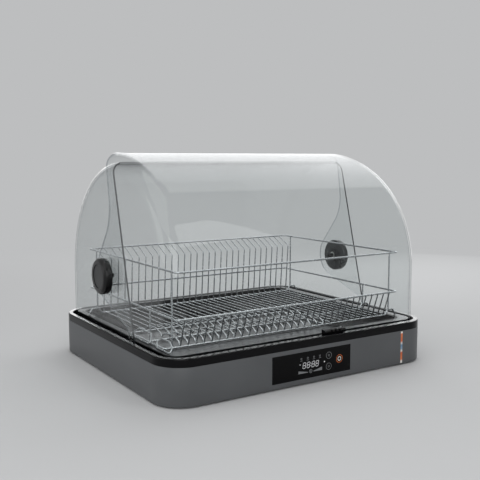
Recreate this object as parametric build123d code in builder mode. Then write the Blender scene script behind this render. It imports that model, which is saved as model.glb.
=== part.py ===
from build123d import *
import os
from math import acos, atan2, cos, hypot, pi, sin

os.makedirs("parts", exist_ok=True)

# Countertop dish dryer and sterilizer: a flat heated base, a plate rack and a clear
# two-piece hood whose front half turns back over the rear half.
# Millimetres, +Z up, front towards -Y, origin on the floor under the middle of the base.

# ---------------------------------------------------------------- driving dimensions
# base
base_length = 560.0
base_depth = 466.0
base_corner = 52.0
foot_height = 3.0
body_height = 62.4
housing_wall = 2.5
seat_width = 9.0
seat_thickness = 2.4
band_height = 13.6
gap = 0.3                      # loose assembly clearance
running = 0.05                 # radial clearance of a running fit

# groove that the covers stand in
ring_side = 9.0                # bezel ring width, left and right
ring_end = 12.0                # bezel ring width, front and rear
groove_corner = 38.0
groove_depth = 8.0
web_thickness = 2.5
rib_thickness = 2.5

# covers
cover_wall = 3.0
front_half_width = base_length / 2 - 15.0
front_wall_y = -(base_depth / 2 - 19.0)
front_crown_y = 35.0
front_crown_z = 394.0
front_spring_z = 176.0
front_shoulder_radius = 208.0  # lower arc of the arch; the upper arc's radius follows
front_edge_radius = 27.0
cover_gap = 1.5                # between the two side panels
rear_wall_y = base_depth / 2 - 14.0
rear_crown_y = 6.0
rear_crown_z = 377.0
rear_spring_z = 166.0
rear_shoulder_radius = 205.0
rear_edge_radius = 21.0

# pivot
pivot_y = 32.0
pivot_z = 174.0
ear_radius = 45.0
knob_radius = 32.5
knob_depth = 15.3
bolt_radius = 4.0
bush_radius = 7.0

# deck and drip tray
deck_thickness = 2.4
recess_half = base_length / 2 - 35.0
recess_rear_y = base_depth / 2 - 24.0
recess_front_y = -(base_depth / 2 - 36.0)
recess_step_x = 80.0
recess_step_y = -33.0
recess_corner = 22.0
rim_width = 3.5
rim_thickness = 1.2
tray_wall = 1.8
tray_floor_z = 60.0

# plate rack
rail_diameter = 3.5
wire_diameter = 2.4
post_diameter = 3.0
rack_half = base_length / 2 - 42.0
rack_front_y = -(base_depth / 2 - 45.5)
rack_rear_y = base_depth / 2 - 54.4
top_rail_z = 205.3
mid_rail_z = 129.6
wire_pitch = 14.8
wire_count = 2 * int((rack_half - 10.0) / wire_pitch) + 1
knee_y = rack_rear_y - 36.6
knee_z = 187.0
floor_rear_y = rack_rear_y - 28.6
floor_front_y = rack_front_y + 19.5
floor_mid_y = floor_front_y + 73.0
cup_left = -(base_length / 2 - 30.0)
cup_right = 76.0
cup_rear_y = -37.0
cup_wave_height = 9.0
cup_wave_length = 35.0

# control panel
panel_x = -2.2
panel_length = 169.0
panel_height = 46.7
panel_z = 34.9
glass_thickness = 1.5
strip_x = base_length / 2 - 72.5
strip_width = 4.5
strip_thickness = 0.6

# blower, duct and lamp
blower_x = -(base_length / 2 - 125.0)
blower_y = 80.0
scroll_radius = 55.0
impeller_radius = 44.0
duct_y = 105.0
duct_width = 56.0
duct_height = 34.0
chimney_half = 58.0
lamp_radius = 7.75

# ---------------------------------------------------------------- derived places
body_top = foot_height + body_height
deck_z = body_top + band_height
groove_floor = deck_z - groove_depth
plate_bottom = foot_height + 0.6
plate_thickness = 2.0
plate_top = plate_bottom + plate_thickness
front_y = -base_depth / 2
rear_half_width = front_half_width - cover_wall - cover_gap
span = base_length + 20.0      # longer than anything cut through from side to side
deck_side_front = front_half_width - cover_wall - 1.0
deck_side_rear = rear_half_width - cover_wall - 1.0
deck_front_y = front_wall_y + cover_wall + 1.0
deck_rear_y = rear_wall_y - cover_wall - 1.0
rail_z = deck_z + 0.45 + rail_diameter / 2
wire_z = rail_z + rail_diameter / 2 + wire_diameter / 2
wire_touch = rail_diameter / 2 + wire_diameter / 2
cup_front_y = floor_front_y
cup_divider_y = (cup_front_y + cup_rear_y) / 2 - 6.0
wire_x = [(i - (wire_count - 1) / 2) * wire_pitch for i in range(wire_count)]


def finish(item, name):
    """Label a finished piece and write its own STEP file."""
    item.part.label = name
    export_step(item.part, f"parts/{name}.step")


def bent_wire(points, diameter, bend, sides=6):
    """Wire along straight runs, with every corner bent to one radius, or mitred at zero."""
    with BuildPart() as wire:
        with BuildLine() as path:
            if bend > 0:
                FilletPolyline(*points, radius=bend)
            else:
                Polyline(*points)
        with BuildSketch(Plane(origin=path.line @ 0, z_dir=path.line % 0)):
            RegularPolygon(diameter / 2, sides)
        sweep(transition=Transition.RIGHT)
    return wire.part


def wire_ring(corner_low, corner_high, z, diameter, bend):
    """Closed rectangular ring of round wire, welded at the middle of its front run."""
    (x0, y0), (x1, y1) = corner_low, corner_high
    middle = (x0 + x1) / 2
    with BuildPart() as ring:
        with BuildLine() as path:
            Line((middle, y0, z), (x1 - bend, y0, z))
            RadiusArc((x1 - bend, y0, z), (x1, y0 + bend, z), -bend)
            Line((x1, y0 + bend, z), (x1, y1 - bend, z))
            RadiusArc((x1, y1 - bend, z), (x1 - bend, y1, z), -bend)
            Line((x1 - bend, y1, z), (x0 + bend, y1, z))
            RadiusArc((x0 + bend, y1, z), (x0, y1 - bend, z), -bend)
            Line((x0, y1 - bend, z), (x0, y0 + bend, z))
            RadiusArc((x0, y0 + bend, z), (x0 + bend, y0, z), -bend)
            Line((x0 + bend, y0, z), (middle, y0, z))
        with BuildSketch(Plane(origin=(middle, y0, z), z_dir=(1, 0, 0))):
            RegularPolygon(diameter / 2, 6)
        sweep()
    return ring.part


# ---------------------------------------------------------------- base housing
# grey skirt, open below, with a seat for the bezel, the panel window, the air slots
# and the cord pocket in the rear wall
boss_radius = 5.0
boss_inset = housing_wall + boss_radius
boss_places = [(sx * (base_length / 2 - boss_inset), 0) for sx in (-1, 1)]
boss_places += [
    (sx * 0.3 * base_length, sy * (base_depth / 2 - boss_inset))
    for sx in (-1, 1)
    for sy in (-1, 1)
]
screw_radius = 1.65
slot_length = 34.0
slot_width = 3.0
slot_pitch = 9.0
pocket_x = -(base_length / 2 - 75.0)
pocket_z = 28.0
pocket_length = 35.0
pocket_height = 27.0
pocket_depth = 8.0
gland_radius = 5.0

with BuildPart() as base_housing:
    with BuildSketch(Plane.XY.offset(foot_height)):
        RectangleRounded(base_length, base_depth, base_corner)
    extrude(amount=body_height)
    chamfer(base_housing.faces().sort_by(Axis.Z)[0].edges(), 0.8)
    with BuildSketch(Plane.XY.offset(foot_height)):
        RectangleRounded(
            base_length - 2 * housing_wall, base_depth - 2 * housing_wall, base_corner - housing_wall
        )
    extrude(amount=body_height - seat_thickness, mode=Mode.SUBTRACT)
    with BuildSketch(Plane.XY.offset(body_top)):
        RectangleRounded(
            base_length - 2 * (housing_wall + seat_width),
            base_depth - 2 * (housing_wall + seat_width),
            base_corner - housing_wall - seat_width,
        )
    extrude(amount=-2 * seat_thickness, mode=Mode.SUBTRACT)
    # window in the rear wall for the cord pocket
    with BuildSketch(Plane.XZ.offset(front_y)):
        with Locations((pocket_x, pocket_z)):
            Rectangle(pocket_length, pocket_height)
    extrude(amount=2 * housing_wall, mode=Mode.SUBTRACT)
    # air slots in the rear wall, beside the blower
    with BuildSketch(Plane.XZ.offset(front_y)):
        with Locations((blower_x + 90.0, 30.0)):
            with GridLocations(slot_pitch, 0, 12, 1):
                Rectangle(slot_width, slot_length)
    extrude(amount=2 * housing_wall, mode=Mode.SUBTRACT)
    # seat and window of the control panel
    with BuildSketch(Plane.XZ.offset(-front_y)):
        with Locations((panel_x, panel_z)):
            RectangleRounded(panel_length + 2 * running, panel_height + 2 * running, 1.5)
    extrude(amount=-glass_thickness, mode=Mode.SUBTRACT)
    with BuildSketch(Plane.XZ.offset(-front_y)):
        with Locations((panel_x, panel_z)):
            Rectangle(panel_length - 10.0, panel_height - 8.0)
    extrude(amount=-2 * housing_wall, mode=Mode.SUBTRACT)
    # shallow groove of the coloured strip
    with BuildSketch(Plane.XZ.offset(-front_y)):
        with Locations((strip_x, foot_height + body_height / 2)):
            Rectangle(strip_width + 2 * running, body_height - 3.0)
    extrude(amount=-strip_thickness, mode=Mode.SUBTRACT)
finish(base_housing, "base_housing")

# pocket set into the rear wall, where the cord leaves
with BuildPart() as cord_pocket:
    with BuildSketch(Plane.XZ.offset(front_y)):
        with Locations((pocket_x, pocket_z)):
            Rectangle(pocket_length - 2 * running, pocket_height - 2 * running)
    extrude(amount=pocket_depth + housing_wall)
    with BuildSketch(Plane.XZ.offset(front_y)):
        with Locations((pocket_x, pocket_z)):
            Rectangle(pocket_length - 2 * housing_wall, pocket_height - 2 * housing_wall)
    extrude(amount=pocket_depth, mode=Mode.SUBTRACT)
    with BuildSketch(Plane.XZ.offset(front_y)):
        with Locations((pocket_x, pocket_z)):
            Circle(gland_radius + running)
    extrude(amount=pocket_depth + 2 * housing_wall, mode=Mode.SUBTRACT)
finish(cord_pocket, "cord_pocket")

# screw bosses inside the walls, for the plate screws
with BuildPart() as screw_bosses:
    with BuildSketch(Plane.XY.offset(plate_top)):
        with Locations(*boss_places):
            RegularPolygon(boss_radius, 8)
    extrude(amount=22.0)
    with BuildSketch(Plane.XY.offset(plate_top)):
        with Locations(*boss_places):
            Circle(screw_radius + running)
    extrude(amount=14.0, mode=Mode.SUBTRACT)
finish(screw_bosses, "screw_bosses")

# coloured strip, let into the front wall
with BuildPart() as accent_strip:
    with BuildSketch(Plane.XZ.offset(-front_y)):
        with Locations((strip_x, foot_height + body_height / 2)):
            Rectangle(strip_width, body_height - 3.0 - 2 * running)
    extrude(amount=-strip_thickness)
finish(accent_strip, "accent_strip")

# ---------------------------------------------------------------- base plate and feet
foot_inset = base_corner
foot_places = [
    (sx * (base_length / 2 - foot_inset), sy * (base_depth / 2 - foot_inset))
    for sx in (-1, 1)
    for sy in (-1, 1)
]
foot_radius = 13.0
stem_radius = 3.0
board_x = base_length / 2 - 115.0
board_y = base_depth / 2 - 163.0
board_length = 100.0
board_width = 70.0
board_holes = [
    (board_x + sx * (board_length / 2 - 5), board_y + sy * (board_width / 2 - 5))
    for sx in (-1, 1)
    for sy in (-1, 1)
]
standoff_height = 8.0

with BuildPart() as base_plate:
    with BuildSketch(Plane.XY.offset(plate_bottom)):
        RectangleRounded(
            base_length - 2 * (housing_wall + gap),
            base_depth - 2 * (housing_wall + gap),
            base_corner - housing_wall - gap,
        )
    extrude(amount=plate_thickness)
    with BuildSketch(Plane.XY.offset(plate_top)):
        with Locations(*board_holes):
            RegularPolygon(3.5, 6)
    extrude(amount=standoff_height)
    with BuildSketch(Plane.XY.offset(plate_bottom)):
        with Locations(*boss_places):
            Circle(screw_radius + 0.5)
        with Locations(*foot_places):
            Circle(stem_radius + running)
        with Locations((blower_x, blower_y)):
            with GridLocations(slot_pitch, 0, 6, 1):
                Rectangle(slot_width, 50.0)
    extrude(amount=plate_thickness, mode=Mode.SUBTRACT)
finish(base_plate, "base_plate")

with BuildPart() as rubber_feet:
    with Locations(*[(x, y, 0) for x, y in foot_places]):
        Cone(foot_radius - 1.0, foot_radius, plate_bottom, align=(Align.CENTER, Align.CENTER, Align.MIN))
    with Locations(*[(x, y, plate_bottom) for x, y in foot_places]):
        Cylinder(stem_radius, 4.0, align=(Align.CENTER, Align.CENTER, Align.MIN))
finish(rubber_feet, "rubber_feet")

with BuildPart() as plate_screws:
    with Locations(*[(x, y, plate_bottom) for x, y in boss_places]):
        Cylinder(screw_radius, 14.0, align=(Align.CENTER, Align.CENTER, Align.MIN))
        Cylinder(3.4, 1.8, align=(Align.CENTER, Align.CENTER, Align.MAX))
finish(plate_screws, "plate_screws")

# ---------------------------------------------------------------- bezel with the cover groove
# tabs on the rear cover's lower edge go through slots in the groove floor
tab_length = 30.0
tab_depth = 6.0
tab_side_y = rear_wall_y - 119.0
tab_places = [(sx * 0.27 * base_length, rear_wall_y - cover_wall / 2, 0) for sx in (-1, 1)]
tab_places += [(sx * (rear_half_width - cover_wall / 2), tab_side_y, 90) for sx in (-1, 1)]

groove_half_x = base_length / 2 - ring_side
groove_half_y = base_depth / 2 - ring_end
rib_outer_x = recess_half + 1.0 + rib_thickness
rib_rear_y = recess_rear_y + 1.5
rib_front_y = recess_front_y - 4.5

with BuildPart() as top_bezel:
    with BuildSketch(Plane.XY.offset(body_top)):
        RectangleRounded(base_length, base_depth, base_corner)
    extrude(amount=band_height)
    chamfer(top_bezel.faces().sort_by(Axis.Z)[-1].edges(), 1.2)
    with BuildSketch(Plane.XY.offset(deck_z)):
        RectangleRounded(2 * groove_half_x, 2 * groove_half_y, groove_corner)
    extrude(amount=-groove_depth, mode=Mode.SUBTRACT)
    # the wall is hollow under the ring, and the web is thin
    with BuildSketch(Plane.XY.offset(body_top)):
        RectangleRounded(
            base_length - 2 * housing_wall, base_depth - 2 * housing_wall, base_corner - housing_wall
        )
        RectangleRounded(
            2 * (groove_half_x + web_thickness),
            2 * (groove_half_y + web_thickness),
            groove_corner + web_thickness,
            mode=Mode.SUBTRACT,
        )
    extrude(amount=band_height - web_thickness, mode=Mode.SUBTRACT)
    with BuildSketch(Plane.XY.offset(body_top)):
        RectangleRounded(
            2 * (groove_half_x + web_thickness),
            2 * (groove_half_y + web_thickness),
            groove_corner + web_thickness,
        )
    extrude(amount=groove_floor - web_thickness - body_top, mode=Mode.SUBTRACT)
    # upright rib that carries the deck
    with BuildSketch(Plane.XY.offset(groove_floor)):
        with Locations((0, (rib_front_y + rib_rear_y) / 2)):
            RectangleRounded(2 * rib_outer_x, rib_rear_y - rib_front_y, recess_corner + 4.0)
    extrude(amount=groove_depth - deck_thickness)
    with BuildSketch(Plane.XY.offset(body_top)):
        with Locations((0, (rib_front_y + rib_rear_y) / 2)):
            RectangleRounded(
                2 * (rib_outer_x - rib_thickness),
                rib_rear_y - rib_front_y - 2 * rib_thickness,
                recess_corner + 4.0 - rib_thickness,
            )
    extrude(amount=band_height, mode=Mode.SUBTRACT)
    with BuildSketch(Plane.XY.offset(groove_floor)):
        for x, y, turn in tab_places:
            with Locations((x, y)):
                Rectangle(tab_length + 2 * gap, cover_wall + 2 * running, rotation=turn)
    extrude(amount=-2 * web_thickness, mode=Mode.SUBTRACT)
finish(top_bezel, "top_bezel")


# ---------------------------------------------------------------- deck plate and drip tray
def recess_outline(height, inset):
    """L-shaped outline of the recess at one height, drawn in by inset all round."""
    left, right = -recess_half + inset, recess_half - inset
    front, rear = recess_front_y + inset, recess_rear_y - inset
    step_x, step_y = recess_step_x + inset, recess_step_y + inset
    with BuildSketch(Plane.XY.offset(height)) as outline:
        with BuildLine():
            Polyline(
                (left, rear), (right, rear), (right, front), (step_x, front),
                (step_x, step_y), (left, step_y), close=True,
            )
        make_face()
        inner_corner = outline.vertices().sort_by_distance((step_x, step_y))[0]
        others = outline.vertices().sort_by_distance((step_x, step_y))[1:]
        fillet(others, recess_corner - inset)
        inner_corner = outline.vertices().sort_by_distance((step_x, step_y))[0]
        fillet(inner_corner, recess_corner + inset)
    return outline.sketch


deck_step_y = -76.0

# stainless deck between the groove and the recess; it is wider in front, where the
# front cover closes outside it, and narrower behind, where the rear cover stands
with BuildPart() as deck_plate:
    with BuildSketch(Plane.XY.offset(deck_z)) as deck_outline:
        with Locations((0, (deck_front_y + deck_step_y) / 2)):
            front_field = Rectangle(2 * deck_side_front, deck_step_y - deck_front_y)
        fillet(
            deck_outline.vertices().group_by(Axis.Y)[0], front_edge_radius - cover_wall - 1.0
        )
        with Locations((0, (deck_rear_y + deck_step_y) / 2)):
            Rectangle(2 * deck_side_rear, deck_rear_y - deck_step_y)
        fillet(
            deck_outline.vertices().group_by(Axis.Y)[-1], rear_edge_radius - cover_wall - 1.0
        )
    extrude(amount=-deck_thickness)
    extrude(recess_outline(deck_z, 0.0), amount=-rim_thickness - 0.1, mode=Mode.SUBTRACT)
    extrude(recess_outline(deck_z, rim_width), amount=-deck_thickness, mode=Mode.SUBTRACT)
finish(deck_plate, "deck_plate")

# black drip tray: a rim in the deck's rebate, a pan, drain ribs and a raised hot-air vent
vent_half = 52.0
vent_width = 50.0
vent_top_z = tray_floor_z + 13.0
vent_slot_pitch = 8.0

with BuildPart() as drip_tray:
    extrude(recess_outline(deck_z - 0.1, 0.5), amount=-rim_thickness)
    extrude(recess_outline(deck_z - 0.1, rim_width + 0.6), amount=tray_floor_z - deck_z + 0.1)
    extrude(
        recess_outline(deck_z - 0.1, rim_width + 0.6 + tray_wall),
        amount=tray_floor_z + tray_wall - deck_z + 0.1,
        mode=Mode.SUBTRACT,
    )
    # drain ribs on the floor, running front to rear
    with BuildSketch(Plane.XY.offset(tray_floor_z + tray_wall)):
        with Locations((0, (recess_step_y + recess_rear_y) / 2)):
            with GridLocations(2 * wire_pitch, 0, 16, 1):
                Rectangle(2.0, recess_rear_y - recess_step_y - 30.0)
    extrude(amount=1.4)
    with BuildSketch(Plane.XY.offset(tray_floor_z)):
        with Locations((0, duct_y)):
            RectangleRounded(2 * vent_half, vent_width, 6.0)
    extrude(amount=vent_top_z - tray_floor_z)
    with BuildSketch(Plane.XY.offset(tray_floor_z)):
        with Locations((0, duct_y)):
            RectangleRounded(2 * (vent_half - tray_wall), vent_width - 2 * tray_wall, 4.2)
    extrude(amount=vent_top_z - tray_floor_z - tray_wall, mode=Mode.SUBTRACT)
    with BuildSketch(Plane.XY.offset(vent_top_z)):
        with Locations((0, duct_y)):
            with GridLocations(vent_slot_pitch, 0, 12, 1):
                Rectangle(slot_width, vent_width - 10.0)
    extrude(amount=-2 * tray_wall, mode=Mode.SUBTRACT)
finish(drip_tray, "drip_tray")

# ---------------------------------------------------------------- control panel
glass_back = front_y + glass_thickness
display_x = 8.0
display_z = 36.0
display_length = 46.0
display_height = 26.0
display_depth = 5.0
pcb_thickness = 1.6
key_places = [(46.0, 45.0), (46.0, 29.0), (62.0, 37.0)]

with BuildPart() as touch_panel:
    with BuildSketch(Plane.XZ.offset(-front_y)):
        with Locations((panel_x, panel_z)):
            RectangleRounded(panel_length, panel_height, 1.5)
    extrude(amount=-glass_thickness)
finish(touch_panel, "touch_panel")

with BuildPart() as led_display:
    with BuildSketch(Plane.XZ.offset(-glass_back)):
        with Locations((display_x, display_z)):
            Rectangle(display_length, display_height)
    extrude(amount=-display_depth)
finish(led_display, "led_display")

with BuildPart() as touch_springs:
    with BuildSketch(Plane.XZ.offset(-glass_back)):
        with Locations(*key_places):
            Circle(5.0)
            Circle(3.8, mode=Mode.SUBTRACT)
    extrude(amount=-display_depth)
finish(touch_springs, "touch_springs")

with BuildPart() as control_board:
    with BuildSketch(Plane.XZ.offset(-glass_back - display_depth)):
        with Locations((panel_x, panel_z)):
            Rectangle(panel_length - 14.0, panel_height - 12.0)
    extrude(amount=-pcb_thickness)
    with BuildSketch(Plane.XZ.offset(-glass_back - display_depth - pcb_thickness)):
        with Locations((panel_x - 40.0, panel_z)):
            Rectangle(12.0, 12.0)
        with Locations((panel_x + 55.0, panel_z + 8.0)):
            Rectangle(16.0, 6.0)
    extrude(amount=-3.0)
finish(control_board, "control_board")

# ---------------------------------------------------------------- power board and cord gland
pcb_bottom = plate_top + standoff_height

with BuildPart() as power_board:
    with BuildSketch(Plane.XY.offset(pcb_bottom)):
        with Locations((board_x, board_y)):
            Rectangle(board_length, board_width)
    extrude(amount=pcb_thickness)
    with BuildSketch(Plane.XY.offset(pcb_bottom + pcb_thickness)):
        with Locations((board_x - 28.0, board_y + 12.0)):
            Rectangle(28.0, 24.0)
        with Locations((board_x + 8.0, board_y - 16.0)):
            Rectangle(20.0, 16.0)
    extrude(amount=19.0)
    with BuildSketch(Plane.XY.offset(pcb_bottom + pcb_thickness)):
        with Locations((board_x + 20.0, board_y + 14.0)):
            Circle(8.0)
    extrude(amount=24.0)
finish(power_board, "power_board")

with BuildPart() as cord_gland:
    with BuildSketch(Plane.XZ.offset(front_y + pocket_depth)):
        with Locations((pocket_x, pocket_z)):
            Circle(7.5)
    extrude(amount=-3.0)
    with BuildSketch(Plane.XZ.offset(front_y + pocket_depth)):
        with Locations((pocket_x, pocket_z)):
            Circle(gland_radius)
    extrude(amount=housing_wall + gap)
    with BuildSketch(Plane.XZ.offset(front_y + pocket_depth + housing_wall + gap)):
        with Locations((pocket_x, pocket_z)):
            Circle(6.5)
    extrude(amount=3.0)
    with BuildSketch(Plane.XZ.offset(front_y + pocket_depth - 3.0)):
        with Locations((pocket_x, pocket_z)):
            Circle(3.5)
    extrude(amount=4 * housing_wall, mode=Mode.SUBTRACT)
finish(cord_gland, "cord_gland")

# ---------------------------------------------------------------- blower
casing_bottom = plate_top + 4.4
casing_height = 34.0
casing_top = casing_bottom + casing_height
casing_wall = 2.0
eye_radius = 28.0
outlet_x = -90.0
shaft_radius = 2.0
impeller_bottom = casing_bottom + 5.0
impeller_height = 24.0
blade_count = 14
outlet_low_y = duct_y - duct_width / 2

with BuildPart() as blower_casing:
    with BuildSketch(Plane.XY.offset(casing_bottom)) as scroll:
        with Locations((blower_x, blower_y)):
            Circle(scroll_radius)
        with Locations(((blower_x + outlet_x) / 2, duct_y)):
            Rectangle(outlet_x - blower_x, duct_width)
    extrude(amount=casing_height)
    with BuildSketch(Plane.XY.offset(casing_bottom + casing_wall)):
        with Locations((blower_x, blower_y)):
            Circle(scroll_radius - casing_wall)
        with Locations(((blower_x + outlet_x) / 2 + casing_wall, duct_y)):
            Rectangle(outlet_x - blower_x, duct_width - 2 * casing_wall)
    extrude(amount=casing_height - 2 * casing_wall, mode=Mode.SUBTRACT)
    # inlet eye with a short lip standing on the base plate, and the shaft hole
    with BuildSketch(Plane.XY.offset(plate_top)):
        with Locations((blower_x, blower_y)):
            Circle(eye_radius + casing_wall)
    extrude(amount=casing_bottom + casing_wall - plate_top)
    with BuildSketch(Plane.XY.offset(plate_top)):
        with Locations((blower_x, blower_y)):
            Circle(eye_radius)
    extrude(amount=casing_bottom + casing_wall - plate_top, mode=Mode.SUBTRACT)
    with BuildSketch(Plane.XY.offset(casing_top)):
        with Locations((blower_x, blower_y)):
            Circle(shaft_radius + 2.0)
    extrude(amount=-casing_wall, mode=Mode.SUBTRACT)
finish(blower_casing, "blower_casing")

with BuildPart() as fan_motor:
    with BuildSketch(Plane.XY.offset(casing_top)):
        with Locations((blower_x, blower_y)):
            Circle(22.0)
    extrude(amount=11.0)
    chamfer(fan_motor.edges().sort_by(Axis.Z)[-1], 1.5)
    with BuildSketch(Plane.XY.offset(casing_top)):
        with Locations((blower_x, blower_y)):
            Circle(shaft_radius + running)
    extrude(amount=8.0, mode=Mode.SUBTRACT)
finish(fan_motor, "fan_motor")

with BuildPart() as fan_shaft:
    with BuildSketch(Plane.XY.offset(impeller_bottom + 8.0)):
        with Locations((blower_x, blower_y)):
            Circle(shaft_radius)
    extrude(amount=casing_top + 7.7 - impeller_bottom - 8.0)
finish(fan_shaft, "fan_shaft")

# radial impeller: back plate on top, forward-curved blades and a lower shroud ring
with BuildPart() as fan_impeller:
    with BuildSketch(Plane.XY.offset(impeller_bottom)):
        with Locations((blower_x, blower_y)):
            Circle(impeller_radius)
            Circle(impeller_radius - 9.0, mode=Mode.SUBTRACT)
    extrude(amount=1.5)
    with BuildSketch(Plane.XY.offset(impeller_bottom)):
        with Locations((blower_x, blower_y)):
            with PolarLocations(impeller_radius - 5.0, blade_count):
                Rectangle(9.0, 1.4, rotation=35)
    extrude(amount=impeller_height)
    with BuildSketch(Plane.XY.offset(impeller_bottom + impeller_height - 1.8)):
        with Locations((blower_x, blower_y)):
            Circle(impeller_radius)
    extrude(amount=1.8)
    with BuildSketch(Plane.XY.offset(impeller_bottom + 8.0)):
        with Locations((blower_x, blower_y)):
            Circle(6.0)
    extrude(amount=impeller_height - 8.0)
    with BuildSketch(Plane.XY.offset(impeller_bottom + 8.0)):
        with Locations((blower_x, blower_y)):
            Circle(shaft_radius)
    extrude(amount=impeller_height - 8.0, mode=Mode.SUBTRACT)
finish(fan_impeller, "fan_impeller")

# ---------------------------------------------------------------- air duct, heater and lamp
duct_wall = 1.5
duct_bottom = casing_bottom
duct_top = tray_floor_z - 0.5

with BuildPart() as air_duct:
    with BuildSketch(Plane.XZ.offset(-duct_y - duct_width / 2)):
        with BuildLine():
            Polyline(
                (outlet_x, duct_bottom), (chimney_half, duct_bottom), (chimney_half, duct_top),
                (-chimney_half, duct_top), (-chimney_half, duct_bottom + duct_height),
                (outlet_x, duct_bottom + duct_height), close=True,
            )
        make_face()
    extrude(amount=duct_width)
    with BuildSketch(Plane.XZ.offset(-duct_y - duct_width / 2 + duct_wall)):
        with BuildLine():
            Polyline(
                (outlet_x, duct_bottom + duct_wall),
                (chimney_half - duct_wall, duct_bottom + duct_wall),
                (chimney_half - duct_wall, duct_top),
                (-chimney_half + duct_wall, duct_top),
                (-chimney_half + duct_wall, duct_bottom + duct_height - duct_wall),
                (outlet_x, duct_bottom + duct_height - duct_wall), close=True,
            )
        make_face()
    extrude(amount=duct_width - 2 * duct_wall, mode=Mode.SUBTRACT)
finish(air_duct, "air_duct")

heater_length = 22.0
heater_x = outlet_x + 16.0
fin_pitch = 4.4

with BuildPart() as ptc_heater:
    with BuildSketch(Plane.YZ.offset(heater_x - heater_length / 2)):
        with Locations((duct_y, duct_bottom + duct_height / 2)):
            Rectangle(duct_width - 2 * duct_wall - 0.2, duct_height - 2 * duct_wall - 0.2)
            with GridLocations(fin_pitch, 0, 11, 1):
                Rectangle(fin_pitch - 1.2, duct_height - 2 * duct_wall - 8.0, mode=Mode.SUBTRACT)
    extrude(amount=heater_length)
finish(ptc_heater, "ptc_heater")

lamp_z = duct_top - lamp_radius - 1.5
lamp_length = 2 * chimney_half - 2 * duct_wall - 20.0

with BuildPart() as uv_lamp:
    with BuildSketch(Plane.YZ.offset(-lamp_length / 2)):
        with Locations((duct_y, lamp_z)):
            Circle(lamp_radius)
    extrude(amount=lamp_length)
finish(uv_lamp, "uv_lamp")

with BuildPart() as lamp_holders:
    for side in (-1, 1):
        with BuildSketch(Plane.YZ.offset(side * (chimney_half - duct_wall))):
            with Locations((duct_y, lamp_z)):
                RectangleRounded(2 * lamp_radius + 2.5, 2 * lamp_radius + 2.5, 3.0)
        extrude(amount=-side * (chimney_half - duct_wall - lamp_length / 2))
finish(lamp_holders, "lamp_holders")


# ---------------------------------------------------------------- covers
def hood_solid(half_width, wall_y, crown_y, crown_z, spring_z, shoulder, bottom_z, far_y, edge):
    """Solid hood: one upright wall, an arch of two tangent arcs and a flat run behind it.

    The lower arc has the shoulder radius, and the upper arc's radius is what makes the two
    arcs and the flat run tangent. Side edges are rounded to edge.
    """
    toward = 1 if wall_y > crown_y else -1
    reach = abs(wall_y - crown_y)
    rise = crown_z - spring_z
    upper = (reach ** 2 + rise ** 2 - 2 * reach * shoulder) / (2 * (rise - shoulder))
    turn = atan2(upper - rise, reach - shoulder)

    def arch(centre_reach, centre_rise, radius, angle):
        return (
            crown_y + toward * (centre_reach + radius * cos(angle)),
            spring_z + centre_rise + radius * sin(angle),
        )

    lower_centre, upper_centre = (reach - shoulder, 0.0, shoulder), (0.0, rise - upper, upper)
    joint = arch(*lower_centre, turn)
    with BuildPart() as hood:
        with BuildSketch(Plane.YZ.offset(-half_width)):
            with BuildLine():
                Line((wall_y, bottom_z), (wall_y, spring_z))
                ThreePointArc((wall_y, spring_z), arch(*lower_centre, turn / 2), joint)
                ThreePointArc(joint, arch(*upper_centre, (turn + pi / 2) / 2), (crown_y, crown_z))
                Polyline((crown_y, crown_z), (far_y, crown_z), (far_y, bottom_z), (wall_y, bottom_z))
            make_face()
        extrude(amount=2 * half_width)
        rims = hood.faces().filter_by(Axis.X).edges()
        rounded = [
            rim for rim in rims
            if rim.center().Z > bottom_z + 0.01 and abs(rim.center().Y - far_y) > 0.01
        ]
        fillet(rounded, edge)
    return hood.part


def tangent_point(point, side):
    """Point of the ear circle where a line from point touches it, on one side."""
    dy, dz = point[0] - pivot_y, point[1] - pivot_z
    turn = atan2(dz, dy) + side * acos(ear_radius / hypot(dy, dz))
    return (pivot_y + ear_radius * cos(turn), pivot_z + ear_radius * sin(turn))


front_bottom = groove_floor + gap
ear_top = (8.0, 276.0)
ear_low = (-58.0, 95.0)
front_seam_top_y = 26.0
front_seam_low_y = -66.0
far_front = pivot_y + ear_radius + 10.0

# front cover: outer hood, with an ear round each pivot
with BuildPart() as front_cover:
    add(hood_solid(front_half_width, front_wall_y, front_crown_y, front_crown_z, front_spring_z,
                   front_shoulder_radius, front_bottom, far_front, front_edge_radius))
    add(
        hood_solid(front_half_width - cover_wall, front_wall_y + cover_wall, front_crown_y,
                   front_crown_z - cover_wall, front_spring_z,
                   front_shoulder_radius - cover_wall, front_bottom - 5.0,
                   far_front + 10.0, front_edge_radius - cover_wall),
        mode=Mode.SUBTRACT,
    )
    with BuildSketch(Plane.YZ.offset(-span / 2)) as front_side:
        ear_start = tangent_point(ear_top, -1)
        ear_end = tangent_point(ear_low, 1)
        with BuildLine():
            Polyline(
                ear_end, ear_low, (front_seam_low_y, front_bottom - 1.0),
                (front_wall_y - 5.0, front_bottom - 1.0), (front_wall_y - 5.0, front_crown_z + 5.0),
                (front_seam_top_y, front_crown_z + 5.0), ear_top, ear_start,
            )
            ThreePointArc(ear_start, (pivot_y + ear_radius, pivot_z), ear_end)
        make_face()
        fillet(front_side.vertices().sort_by_distance(ear_top)[0], 80.0)
        fillet(front_side.vertices().sort_by_distance(ear_low)[0], 22.0)
    extrude(amount=span, mode=Mode.INTERSECT)
    with BuildSketch(Plane.YZ.offset(-span / 2)):
        with Locations((pivot_y, pivot_z)):
            Circle(bush_radius + running)
    extrude(amount=span, mode=Mode.SUBTRACT)
finish(front_cover, "front_cover")

# rear cover: inner hood, standing in the groove
rear_seam_slope = 0.265
rear_seam_y = -65.0            # where the front edge crosses rear_seam_z
rear_seam_z = 103.0


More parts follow.
